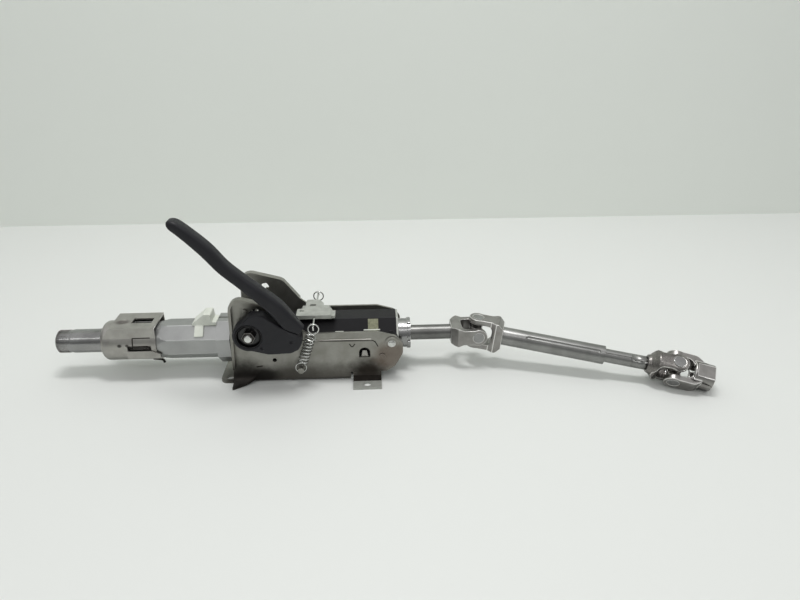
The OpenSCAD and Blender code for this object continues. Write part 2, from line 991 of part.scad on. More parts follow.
low_end = concat(
    [for (a = [100 : 20 : ring_exit]) ring_point(a)],
    [for (t = [0.25 : 0.25 : 0.75])
        bezier(
            ring_point(ring_exit),
            ring_point(ring_exit) + 4 * [-sin(ring_exit), 0, cos(ring_exit)],
            coil_point(0) + [0, 4, 0],
            coil_point(0),
            t
        )]
);
coil_steps = 14 * coil_turns;
spring_path = concat(
    low_end,
    [for (i = [0 : coil_steps]) coil_point(i / coil_steps)],
    [for (i = [len(low_end) - 1 : -1 : 0])
        [low_end[i][0], -low_end[i][1], spring_len - low_end[i][2]]]
);

module spring() {
    color("#b7b7b2")
        translate([loop_low[0], -spring_y, loop_low[1]])
            rotate([0, spring_lean, 0])
                wire(spring_path, wire_r, [0, 1, 0], 6);
}

module damper_pad() {
    pad_t = 1.2;
    pad_len = 12;
    pad_x0 = guide_x1 - 33;
    pad_half = guide_af / 2 * tan(22.5) - 1.5;
    color("#9a9b82")
        on_axis()
            run_x(pad_x0, pad_x0 + pad_len)
                rotate(135)
                    translate([guide_af / 2, -pad_half])
                        square([pad_t, 2 * pad_half]);
}

// Clamp lever
fold_x = clamp_x + 57.5;
fold_z = clamp_z - 2;
hub_outline = [
    [clamp_x - 12, clamp_z - 14, 6],
    [clamp_x + 20, clamp_z - 23, 14],
    [clamp_x + 45, clamp_z - 22, 8],
    [fold_x - 4, clamp_z - 17.5, 5],
    [fold_x, clamp_z - 10, 4],
    [fold_x, clamp_z - 1, 4],
    [clamp_x + 36, clamp_z + 10.5, 8],
    [clamp_x + 17, clamp_z + 26, 6],
    [clamp_x + 4, clamp_z + 26, 8],
    [clamp_x - 13, clamp_z + 11, 6]
];

// Section of the handle at share f of its length: centre line, thickness and width
function handle_rise(f) =
    lookup(f, [[0, 6], [0.2, 11.8], [0.33, 11.3], [0.47, 9.7], [0.6, 8.4], [0.74, 10.6], [0.9, 10], [1, 8]]);
function handle_swell(f) =
    lookup(f, [
        [0, 1.5], [0.2, 1.48], [0.33, 1.32], [0.47, 1.17], [0.6, 1.16], [0.74, 1.2], [0.9, 1.05], [1, 0.95]
    ]);
function handle_end(f) = f < 0.95 ? 1 : sqrt(max(0.02, 1 - pow((f - 0.95) / 0.052, 2)));
function handle_centre(f) =
    let (s = f * handle_len, n = handle_rise(f))
    [fold_x - 8 - s * cos(handle_slope) + n * sin(handle_slope),
     fold_z + s * sin(handle_slope) + n * cos(handle_slope)];
function handle_thick(f) = handle_t * handle_swell(f) * handle_end(f);
function handle_wide(f) = min(hub_t + (handle_w - hub_t) * f / 0.12, handle_w) * sqrt(handle_end(f));
function squircle(a, w, t, n) =
    [w / 2 * sign(cos(a)) * pow(abs(cos(a)), n), t / 2 * sign(sin(a)) * pow(abs(sin(a)), n)];

handle_sides = 20;
handle_shares = [for (f = [0, 1, 2, 3, 5, 7, 9, 10, 11, 12, 13, 14, 15, 16, 16.5, 17]) f / 17];

module lever_handle() {
    near_y = lever_y + handle_w / 2 + 0.2;
    points = [
        for (f = handle_shares, k = [0 : handle_sides - 1])
            let (
                q = squircle(360 * k / handle_sides, handle_wide(f), handle_thick(f), 0.55),
                c = handle_centre(f),
                y = f < 0.12 ? lever_y + handle_wide(f) / 2 + 0.2 * f / 0.12 : near_y
            )
            [c[0] + q[1] * sin(handle_slope), -y - q[0], c[1] + q[1] * cos(handle_slope)]
    ];
    polyhedron(points, skin_faces(len(handle_shares), handle_sides), convexity = 4);
}

module lever() {
    recess_r = boss_r - 3.5;
    color("#2e2d33") {
        difference() {
            union() {
                run_y(-lever_y - hub_t, -lever_y)
                    polygon(rounded(hub_outline));
                at_clamp()
                    rod_y(boss_r, -lever_y - hub_t, -lever_y);
            }
            at_clamp() {
                rod_y(bolt_r + run_gap, -lever_y - hub_t - 1, -lever_y + 1);
                rod_y(recess_r, -lever_y - hub_t - 1, -lever_y - hub_floor_t);
            }
        }
        lever_handle();
    }
}

module moving_cam() {
    color("#83817b")
        at_clamp()
            ring_y(bolt_r + run_gap, cam_r, -moving_cam_y - moving_cam_t, -moving_cam_y);
}

// Sliding jacket and lock housing
module lock_windows(depth) {
    slot_half_w = 6;
    side_low = -5;
    side_high = 4;
    translate([window_x0, -slot_half_w, depth])
        cube([window_x1 - window_x0, 2 * slot_half_w, roof_rise]);
    translate([window_x0 - 3, -roof_w, side_low])
        cube([window_x1 - window_x0 + 4, roof_w - depth, side_high - side_low]);
}

module jacket_tube() {
    ramp_x0 = housing_x1 + 0.3;
    ramp_x1 = ramp_x0 + 15;
    corner_r = jacket_af / 2 / cos(22.5) + 0.5;
    color("#a2a4a6")
        on_axis()
            difference() {
                intersection() {
                    run_x(jacket_x0, jacket_x1)
                        octagon(jacket_af);
                    turn_x()
                        polygon([
                            [0, jacket_x0 - 1],
                            [jacket_round_r, jacket_x0 - 1],
                            [jacket_round_r, ramp_x0],
                            [corner_r, ramp_x1],
                            [corner_r, jacket_x1 + 1],
                            [0, jacket_x1 + 1]
                        ]);
                }
                rod_x(jacket_bore_r, jacket_x0 - 1, jacket_x1 + 1);
                lock_windows(shaft_r);
            }
}

module housing_roof(t, x1) {
    slope_x0 = housing_x0 + 5 + t;
    slope_x1 = housing_x0 + 17 + t * 0.4;
    half = roof_w / 2 - t;
    run_y(-half, half)
        polygon([
            [slope_x0, 0],
            [x1, 0],
            [x1, roof_rise - t],
            [slope_x1, roof_rise - t],
            [slope_x0, roof_rise - 13 - t * 0.5]
        ]);
}

module lock_housing() {
    nose_r = shaft_r + 1.2;
    front_x = housing_x0 + housing_t + 0.3;
    dimple_r = 14;
    color("#8e8e8a")
        on_axis()
            difference() {
                union() {
                    turn_x()
                        polygon(rounded([
                            [0, housing_x0, 0],
                            [housing_r, housing_x0, 7],
                            [housing_r, housing_x1, 0],
                            [0, housing_x1, 0]
                        ]));
                    housing_roof(0, housing_x1);
                }
                turn_x()
                    polygon(rounded([
                        [0, front_x, 0],
                        [housing_in_r, front_x, 5],
                        [housing_in_r, housing_x1 + 1, 0],
                        [0, housing_x1 + 1, 0]
                    ]));
                housing_roof(housing_t, housing_x1 + 1);
                rod_x(nose_r, housing_x0 - 1, housing_x0 + 10);
                lock_windows(shaft_r);
                translate([window_x0 - 10, 0, roof_rise + dimple_r - 1])
                    sphere(r = dimple_r);
            }
}

module upper_bearing() {
    color("#9b9a97")
        on_axis()
            translate([upper_bearing_x, 0, 0])
                ring_x(race_r + run_gap, jacket_bore_r - seat_gap, 0, bearing_w);
}

module jacket_clip() {
    seat_z = jacket_af / 2;
    clip_x1 = guide_x0 - 0.8;
    clip_x0 = clip_x1 - 28;
    leg_t = 2;
    color("#d0d4ca")
        on_axis() {
            run_y(-seat_z * tan(22.5) - leg_t, 8)
                polygon(rounded([
                    [clip_x0, seat_z, 0],
                    [clip_x1, seat_z, 0],
                    [clip_x1, seat_z + 4, 1],
                    [clip_x1 - 5, seat_z + 4.5, 1],
                    [clip_x1 - 6, seat_z + 14, 2],
                    [clip_x1 - 14, seat_z + 14, 2],
                    [clip_x0, seat_z + 2.5, 1]
                ]));
            run_x(clip_x0 + 3, clip_x0 + 13)
                rotate(135)
                    translate([seat_z, -seat_z * tan(22.5)])
                        square([leg_t, seat_z * tan(22.5) * 1.6]);
        }
}

module lock_flap() {
    flap_t = 1.2;
    flap_low = -12;
    flap_high = -2.5;
    color("#96968f")
        on_axis()
            difference() {
                run_y(-housing_r - flap_t, -housing_r + 5)
                    polygon(rounded([
                        [window_x0 - 4, flap_low, 2],
                        [housing_x1 + 4, flap_low, 2],
                        [housing_x1 + 4, flap_low + 5, 2],
                        [housing_x1 - 6, flap_high, 2],
                        [window_x0 - 4, flap_high, 2]
                    ]));
                rod_x(housing_r, housing_x0, housing_x1 + 5);
            }
}

// Upper shaft
groove_x = upper_bearing_x + bearing_w + 0.2;
groove_w = 1.7;
groove_depth = 0.8;
flat_share = 0.86;

module flatted_round(r) {
    intersection() {
        circle(r = r);
        square([3 * r, 2 * r * flat_share], center = true);
    }
}

shaft_x1 = clamp_x + 7.5;
shaft_bore_x0 = housing_x0 + 40;

module upper_shaft() {
    cone_len = 3;
    color("#8b8c8c")
        on_axis()
            difference() {
                turn_x()
                    polygon(rounded([
                        [0, tip_x, 0],
                        [spline_r - 1, tip_x, 3],
                        [spline_r, tip_x + 6, 4],
                        [spline_r, tip_x + spline_len, 0],
                        [shaft_r, tip_x + spline_len + cone_len, 0],
                        [shaft_r, shaft_x1, 0],
                        [0, shaft_x1, 0]
                    ]));
                rod_x(thread_r, tip_x - 1, tip_x + thread_depth);
                run_x(shaft_bore_x0, shaft_x1 + 1)
                    flatted_round(lower_r + slide_gap);
                ring_x(shaft_r - groove_depth, shaft_r + 2, groove_x, groove_x + groove_w);
            }
}

module lock_ring() {
    ring_r = jacket_bore_r - 1;
    slot_count = 8;
    slot_w = 5;
    color("#6f6e6b")
        on_axis()
            difference() {
                ring_x(shaft_r + seat_gap, ring_r, window_x0 - 5, window_x1 + 1);
                for (i = [0 : slot_count - 1])
                    rotate([360 * i / slot_count, 0, 0])
                        translate([window_x0, -slot_w / 2, ring_r - 2.6])
                            cube([window_x1 - window_x0 - 4, slot_w, 5]);
            }
}

module upper_race() {
    color("#b0b0ad")
        on_axis()
            ring_x(shaft_r + seat_gap, race_r, upper_bearing_x, upper_bearing_x + bearing_w);
}

module circlip() {
    gap_w = 7;
    color("#55534f")
        on_axis()
            difference() {
                translate([groove_x, 0, 0])
                    ring_x(shaft_r - groove_depth + seat_gap, race_r - 0.5, 0.1, groove_w - 0.1);
                translate([groove_x - 1, -gap_w / 2, 0])
                    cube([groove_w + 2, gap_w, 2 * shaft_r]);
            }
}

// Lower shaft and first universal joint
lower_x0 = housing_x0 + 50;
flat_x1 = guide_x1 - 50;

module lower_shaft() {
    color("#7c7c7a")
        on_axis() {
            run_x(lower_x0, flat_x1)
                flatted_round(lower_r);
            rod_x(lower_r, flat_x1, joint_x - throat - 1);
        }
}

module lower_race() {
    color("#b0b0ad")
        on_axis()
            ring_x(lower_r + seat_gap, lower_race_r, end_plate_x, end_plate_x + bearing_w);
}

// Fork that opens along +x with its arms on y and the joint centre at the origin
module fork_blank(hub_r, chamfer) {
    half = joint_span / 2;
    intersection() {
        translate([0, 0, -hub_r])
            linear_extrude(2 * hub_r)
                polygon(rounded([
                    [-hub_x, -half + chamfer, 0],
                    [-hub_x + chamfer, -half, 3],
                    [eye_r + 1, -half, 0],
                    [eye_r + 1, -gap_half, 0],
                    [-throat, -gap_half, 6],
                    [-throat, gap_half, 6],
                    [eye_r + 1, gap_half, 0],
                    [eye_r + 1, half, 0],
                    [-hub_x + chamfer, half, 3],
                    [-hub_x, half - chamfer, 0]
                ]));
        run_y(-half - 1, half + 1) {
            circle(r = eye_r);
            translate([-hub_x - 1, -arm_h / 2])
                square([hub_x + 1, arm_h]);
            polygon([
                [-hub_x - 1, -hub_r + 2],
                [-hub_x + 4, -hub_r],
                [-throat - 4, -hub_r],
                [-throat + 2, -arm_h / 2],
                [-throat + 2, arm_h / 2],
                [-throat - 4, hub_r],
                [-hub_x + 4, hub_r],
                [-hub_x - 1, hub_r - 2]
            ]);
        }
    }
}

module fork(hub_r, chamfer, bore) {
    difference() {
        fork_blank(hub_r, chamfer);
        rod_y(cup_r + seat_gap, -joint_span, joint_span);
        rod_x(bore, -hub_x - 2, -throat + 1);
    }
}

module cup() {
    cup_floor = 2;
    cup_depth = arm_t - 0.3;
    color("#a09f9a")
        difference() {
            rod_y(cup_r, -joint_span / 2, -joint_span / 2 + cup_depth);
            rod_y(trunnion_r + run_gap, -joint_span / 2 + cup_floor, 0);
        }
}

module cross() {
    shoulder_r = trunnion_r + 1.6;
    pin_half = joint_span / 2 - 2 - 0.15;
    shoulder_half = gap_half - 0.4;
    color("#8d8c88") {
        sphere(r = shoulder_r + 2.2);
        for (turn = [0, 90])
            rotate([turn, 0, 0]) {
                rod_y(trunnion_r, -pin_half, pin_half);
                rod_y(shoulder_r, -shoulder_half, shoulder_half);
            }
    }
}

module yoke_1() {
    color("#7c7c7a")
        at_joint_1()
            fork(lower_r + 3, 8, lower_r + seat_gap);
}

module yoke_1_cup_right() {
    at_joint_1()
        cup();
}

module yoke_1_cup_left() {
    at_joint_1()
        left_of()
            cup();
}

module cross_1() {
    at_joint_1()
        rotate([0, mid_pitch, 0])
            cross();
}

// Intermediate shaft
module yoke_2() {
    color("#7c7c7a")
        on_mid_shaft()
            facing_fork()
                fork(tube_r + 2, 6, tube_r + seat_gap);
}

module yoke_2_cup_upper() {
    on_mid_shaft()
        facing_fork()
            cup();
}

module yoke_2_cup_lower() {
    on_mid_shaft()
        facing_fork()
            left_of()
                cup();
}

// Bore of the tube with inward keys, and the shaft with the grooves that ride on them
module keyed_bore() {
    difference() {
        circle(r = inner_r + slide_gap);
        for (i = [0 : key_count - 1])
            translate(polar(inner_r + slide_gap + 0.2, 45 + 360 * i / key_count))
                circle(r = key_r);
    }
}

module grooved_shaft() {
    difference() {
        circle(r = inner_r);
        for (i = [0 : key_count - 1])
            translate(polar(inner_r + slide_gap + 0.2, 45 + 360 * i / key_count))
                circle(r = key_r + slide_gap);
    }
}

module mid_tube() {
    flute_r = 3;
    flute_x0 = tube_x0 + 38;
    flute_x1 = tube_x1 - 8;
    color("#7c7c7a")
        on_mid_shaft()
            difference() {
                rod_x(tube_r, tube_x0, tube_x1);
                run_x(tube_x0 - 1, tube_x1 + 1)
                    keyed_bore();
                for (i = [0 : key_count - 1])
                    rotate([45 + 360 * i / key_count, 0, 0])
                        translate([0, tube_r + flute_r - 1.2, 0]) {
                            rod_x(flute_r, flute_x0, flute_x1);
                            for (x = [flute_x0, flute_x1])
                                translate([x, 0, 0])
                                    sphere(r = flute_r);
                        }
            }
}

module mid_inner() {
    groove_end = neck_x - 3;
    color("#7f7e7c")
        on_mid_shaft() {
            run_x(inner_x0, groove_end)
                grooved_shaft();
            rod_x(inner_r, groove_end, inner_x1);
        }
}

module forged_fork(neck_r, hub_len, bore, bore_depth) {
    half = joint_span / 2;
    difference() {
        intersection() {
            turn_x()
                polygon(rounded([
                    [0, -hub_len, 0],
                    [neck_r, -hub_len, 2],
                    [neck_r + 1.5, -hub_len + 8, 6],
                    [half, -throat - 4, 9],
                    [half, eye_r + 1, 0],
                    [0, eye_r + 1, 0]
                ]));
            run_y(-half - 1, half + 1) {
                circle(r = eye_r + 0.5);
                translate([-hub_len - 1, -arm_h / 2])
                    square([hub_len + 1, arm_h]);
                polygon([
                    [-hub_len - 1, -neck_r - 2],
                    [-throat - 7, -neck_r - 4],
                    [-throat + 2, -arm_h / 2],
                    [-throat + 2, arm_h / 2],
                    [-throat - 7, neck_r + 4],
                    [-hub_len - 1, neck_r + 2]
                ]);
            }
        }
        translate([0, 0, -half])
            linear_extrude(2 * half)
                polygon(rounded([
                    [-throat, -gap_half, 7],
                    [eye_r + 3, -gap_half, 0],
                    [eye_r + 3, gap_half, 0],
                    [-throat, gap_half, 7]
                ]));
        rod_y(cup_r + seat_gap, -joint_span, joint_span);
        rod_x(bore, -hub_len - 1, -hub_len + bore_depth);
    }
}

module yoke_3() {
    color("#6f6c69")
        at_joint_2()
            forged_fork(inner_r + 2, joint_gap - neck_x, inner_r + seat_gap, 12.2);
}

module yoke_3_cup_upper() {
    at_joint_2()
        cup();
}

module yoke_3_cup_lower() {
    at_joint_2()
        left_of()
            cup();
}

module cross_2() {
    at_joint_2()
        rotate([0, end_bend, 0])
            cross();
}

// End yoke with the split clamp for the steering gear pinion
pinch_r = 4.2;
pinch_rise = pinion_r + pinch_r + 0.8;

module end_fork() {
    hub_r = pinion_r + 6;
    hub_end = throat + pinion_len;
    block_top = pinch_rise + pinch_r + 2.2;
    block_half = 9;
    slit_half = 1.2;
    flat_rise = hub_r - 2.5;
    flat_len = pinion_len - 3;
    half = joint_span / 2;
    difference() {
        union() {
            intersection() {
                translate([0, 0, -half])
                    linear_extrude(2 * half)
                        polygon(rounded([
                            [-throat - 9, -hub_r + 1, 0],
                            [-throat - 2, -half, 9],
                            [eye_r + 1, -half, 0],
                            [eye_r + 1, -gap_half, 0],
                            [-throat, -gap_half, 9],
                            [-throat, gap_half, 9],
                            [eye_r + 1, gap_half, 0],
                            [eye_r + 1, half, 0],
                            [-throat - 2, half, 9],
                            [-throat - 9, hub_r - 1, 0]
                        ]));
                run_y(-half - 1, half + 1) {
                    circle(r = eye_r);
                    translate([-throat - 10, -arm_h / 2])
                        square([throat + 10, arm_h]);
                }
            }
            rod_x(hub_r, -hub_end, -throat);
            rotate([clamp_turn, 0, 0])
                translate([-hub_end + 1, -block_half, -block_top])
                    cube([pinion_len - 5, 2 * block_half, block_top]);
        }
        rod_y(cup_r + seat_gap, -joint_span, joint_span);
        rod_x(pinion_r, -hub_end - 1, -throat + 1);
        translate([-hub_end - 1, -hub_r, flat_rise])
            cube([flat_len + 1, 2 * hub_r, hub_r]);
        rotate([clamp_turn, 0, 0]) {
            translate([-hub_end - 1, -slit_half, -block_top - 1])
                cube([pinion_len + 2, 2 * slit_half, block_top + 1]);
            translate([-hub_end + pinion_len / 2 - 1, 0, -pinch_rise])
                rod_y(pinch_r, -joint_span, joint_span);
        }
    }
}

module on_end_yoke() {
    at_joint_2()
        rotate([0, end_bend, 0])
            facing_fork()
                children();
}

module end_yoke() {
    color("#6b6765")
        on_end_yoke()
            end_fork();
}

module end_yoke_cup_upper() {
    on_end_yoke()
        cup();
}

module end_yoke_cup_lower() {
    on_end_yoke()
        left_of()
            cup();
}

console();
tilt_rack();  // tilt_rack_right
left_of() tilt_rack();  // tilt_rack_left
pivot_bush();  // pivot_bush_right
left_of() pivot_bush();  // pivot_bush_left
side_plug();  // side_plug_right
left_of() side_plug();  // side_plug_left
spring_posts();
console_rivets();
guide_tube();
clamp_ear();  // clamp_ear_right
left_of() clamp_ear();  // clamp_ear_left
friction_plate();  // friction_plate_right
left_of() friction_plate();  // friction_plate_left
slide_bush_front();
slide_bush_rear();
end_plate();
lower_bearing();
bearing_collar();
pivot_pins();
clamp_bolt();
clamp_nut();
clamp_washer();
fixed_cam();
far_block();
spring_bridge();
spring_bail();
damper_pad();
spring();  // spring_right
left_of() spring();  // spring_left
lever();
moving_cam();
jacket_tube();
lock_housing();
upper_bearing();
jacket_clip();
lock_flap();
upper_shaft();
lock_ring();
upper_race();
circlip();
lower_shaft();
lower_race();
yoke_1();
yoke_1_cup_right();
yoke_1_cup_left();
cross_1();
yoke_2();
yoke_2_cup_upper();
yoke_2_cup_lower();
mid_tube();
mid_inner();
yoke_3();
yoke_3_cup_upper();
yoke_3_cup_lower();
cross_2();
end_yoke();
end_yoke_cup_upper();
end_yoke_cup_lower();
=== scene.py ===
import json
import math
import bmesh
import bpy
from mathutils import Matrix, Vector
from mathutils.bvhtree import BVHTree


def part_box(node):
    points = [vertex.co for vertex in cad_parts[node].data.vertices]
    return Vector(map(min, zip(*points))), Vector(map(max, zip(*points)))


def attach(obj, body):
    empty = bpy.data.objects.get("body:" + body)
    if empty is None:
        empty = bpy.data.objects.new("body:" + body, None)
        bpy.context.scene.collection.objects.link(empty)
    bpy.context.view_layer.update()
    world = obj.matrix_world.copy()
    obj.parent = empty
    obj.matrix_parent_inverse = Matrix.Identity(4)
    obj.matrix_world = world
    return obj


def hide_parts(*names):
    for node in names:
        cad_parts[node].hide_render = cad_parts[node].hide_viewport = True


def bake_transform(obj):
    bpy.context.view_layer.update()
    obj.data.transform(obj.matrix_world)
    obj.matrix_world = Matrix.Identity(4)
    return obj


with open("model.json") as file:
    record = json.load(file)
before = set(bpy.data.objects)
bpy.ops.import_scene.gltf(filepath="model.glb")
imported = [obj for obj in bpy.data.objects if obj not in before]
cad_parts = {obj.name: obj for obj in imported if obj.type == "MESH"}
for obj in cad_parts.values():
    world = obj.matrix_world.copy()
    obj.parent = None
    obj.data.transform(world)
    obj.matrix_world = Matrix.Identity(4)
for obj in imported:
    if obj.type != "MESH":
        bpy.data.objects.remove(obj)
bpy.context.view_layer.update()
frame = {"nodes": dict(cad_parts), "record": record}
cadNodes = frame["nodes"]
record = frame["record"]
bodyOf = {n: b for b, names in record["behaviour"]["bodies"].items() for n in names}
jointAt = {j["name"]: Vector(j["pos_m"]) for j in record["behaviour"]["joints"] if "pos_m" in j}
mm = 0.001
print("frame loaded with", len(cadNodes), "nodes")


def hexLinear(code):
    parts = [int(code[i:i + 2], 16) / 255 for i in (1, 3, 5)]
    return tuple(c / 12.92 if c <= 0.04045 else ((c + 0.055) / 1.055) ** 2.4 for c in parts) + (1.0,)


# one node with its settings, values and links; a tuple of (node, socket) is a link
def addNode(tree, kind, inputs=None, **settings):
    node = tree.nodes.new(kind)
    for key, value in settings.items():
        setattr(node, key, value)
    for key, value in (inputs or {}).items():
        if isinstance(value, tuple) and isinstance(value[0], bpy.types.Node):
            tree.links.new(value[0].outputs[value[1]], node.inputs[key])
        else:
            node.inputs[key].default_value = value
    return node


def rampStops(ramp, stops):
    stops = list(stops)
    while len(ramp.color_ramp.elements) < len(stops):
        ramp.color_ramp.elements.new(0.5)
    for element, (place, code) in zip(ramp.color_ramp.elements, stops):
        element.position = place
        element.color = hexLinear(code)


# camera, light and table
cameraSet = {
    "place": (0.0878, -0.6333, 0.3965),  # metres in the part's frame
    "pitchDown": 26.09,
    "turn": -3.04,
    "lens": 26.91,                       # millimetres, as the sensor's width
    "sensor": 36,
    "nearest": 0.01,
}
camera = bpy.data.objects.new("camera", bpy.data.cameras.new("camera"))
camera.data.lens = cameraSet["lens"]
camera.data.sensor_width = cameraSet["sensor"]
camera.data.clip_start = cameraSet["nearest"]
camera.location = cameraSet["place"]
turn = Matrix.Rotation(math.radians(cameraSet["turn"]), 4, "Z")
pitch = Matrix.Rotation(math.radians(90 - cameraSet["pitchDown"]), 4, "X")
camera.rotation_euler = (turn @ pitch).to_euler()
bpy.context.scene.collection.objects.link(camera)
bpy.context.scene.camera = camera
bpy.context.scene.view_settings.view_transform = "Standard"

lightSet = {
    "overhead": {"watts": 16.5, "size": (0.8, 0.3), "place": (0.15, 0.05, 2.0), "aim": (0.12, 0, 0)},
    "front": {"watts": 3.6, "size": (3.2, 0.1), "place": (0.0, -0.95, 1.15), "aim": (0.0, 0, 0.05)},
    "worldTop": "#ffffff", "worldSide": "#a5a7a6", "worldStrength": 0.66, "worldFade": (0.25, 0.75),
}


def areaLight(name, look):
    light = bpy.data.lights.new(name, "AREA")
    light.shape = "RECTANGLE"
    light.size, light.size_y = look["size"]
    light.energy = look["watts"]
    lamp = bpy.data.objects.new(name, light)
    lamp.location = look["place"]
    aimed = Vector(look["aim"]) - Vector(look["place"])
    lamp.rotation_euler = aimed.to_track_quat("-Z", "Y").to_euler()
    bpy.context.scene.collection.objects.link(lamp)


for lampName in ("overhead", "front"):
    areaLight(lampName, lightSet[lampName])

world = bpy.data.worlds.new("room")
world.use_nodes = True
bpy.context.scene.world = world
room = world.node_tree
room.nodes.clear()
roomCoords = addNode(room, "ShaderNodeTexCoord")
roomSplit = addNode(room, "ShaderNodeSeparateXYZ", {"Vector": (roomCoords, "Generated")})
roomRamp = addNode(room, "ShaderNodeValToRGB", {"Fac": (roomSplit, "Z")})
sideTo, topFrom = lightSet["worldFade"]
rampStops(roomRamp, [(sideTo, lightSet["worldSide"]), (topFrom, lightSet["worldTop"])])
roomLight = addNode(room, "ShaderNodeBackground", {"Color": (roomRamp, "Color"),
                                                   "Strength": lightSet["worldStrength"]})
addNode(room, "ShaderNodeOutputWorld", {"Surface": (roomLight, "Background")})

tableSet = {"half": 1.6, "wallY": 0.553, "wallTop": 1.4, "colour": "#dfe1de", "wall": "#eef2ec",
            "rough": 0.55}


# a screen is seen from its front side alone
def paleFinish(name, code, screen=False):
    material = bpy.data.materials.new(name)
    material.use_nodes = True
    tree = material.node_tree
    tree.nodes.clear()
    shader = addNode(tree, "ShaderNodeBsdfPrincipled", {"Base Color": hexLinear(code),
                                                        "Roughness": tableSet["rough"]})
    surface = (shader, "BSDF")
    if screen:
        sides = addNode(tree, "ShaderNodeNewGeometry")
        clear = addNode(tree, "ShaderNodeBsdfTransparent")
        mixed = addNode(tree, "ShaderNodeMixShader", {0: (sides, "Backfacing"), 1: surface,
                                                      2: (clear, "BSDF")})
        surface = (mixed, "Shader")
    addNode(tree, "ShaderNodeOutputMaterial", {"Surface": surface})
    return material


def stagePlane(name, corners, material):
    mesh = bpy.data.meshes.new(name)
    mesh.from_pydata(corners, [], [(0, 1, 2, 3)])
    mesh.materials.append(material)
    plane = bpy.data.objects.new(name, mesh)
    bpy.context.scene.collection.objects.link(plane)


half, wallY, wallTop = tableSet["half"], tableSet["wallY"], tableSet["wallTop"]
stagePlane("table", [(-half, -half, 0), (half, -half, 0), (half, wallY, 0), (-half, wallY, 0)],
           paleFinish("tableTop", tableSet["colour"]))
stagePlane("wall", [(-half, wallY, 0), (half, wallY, 0), (half, wallY, wallTop), (-half, wallY, wallTop)],
           paleFinish("wallPaint", tableSet["wall"], screen=True))
print("camera, light and table set")

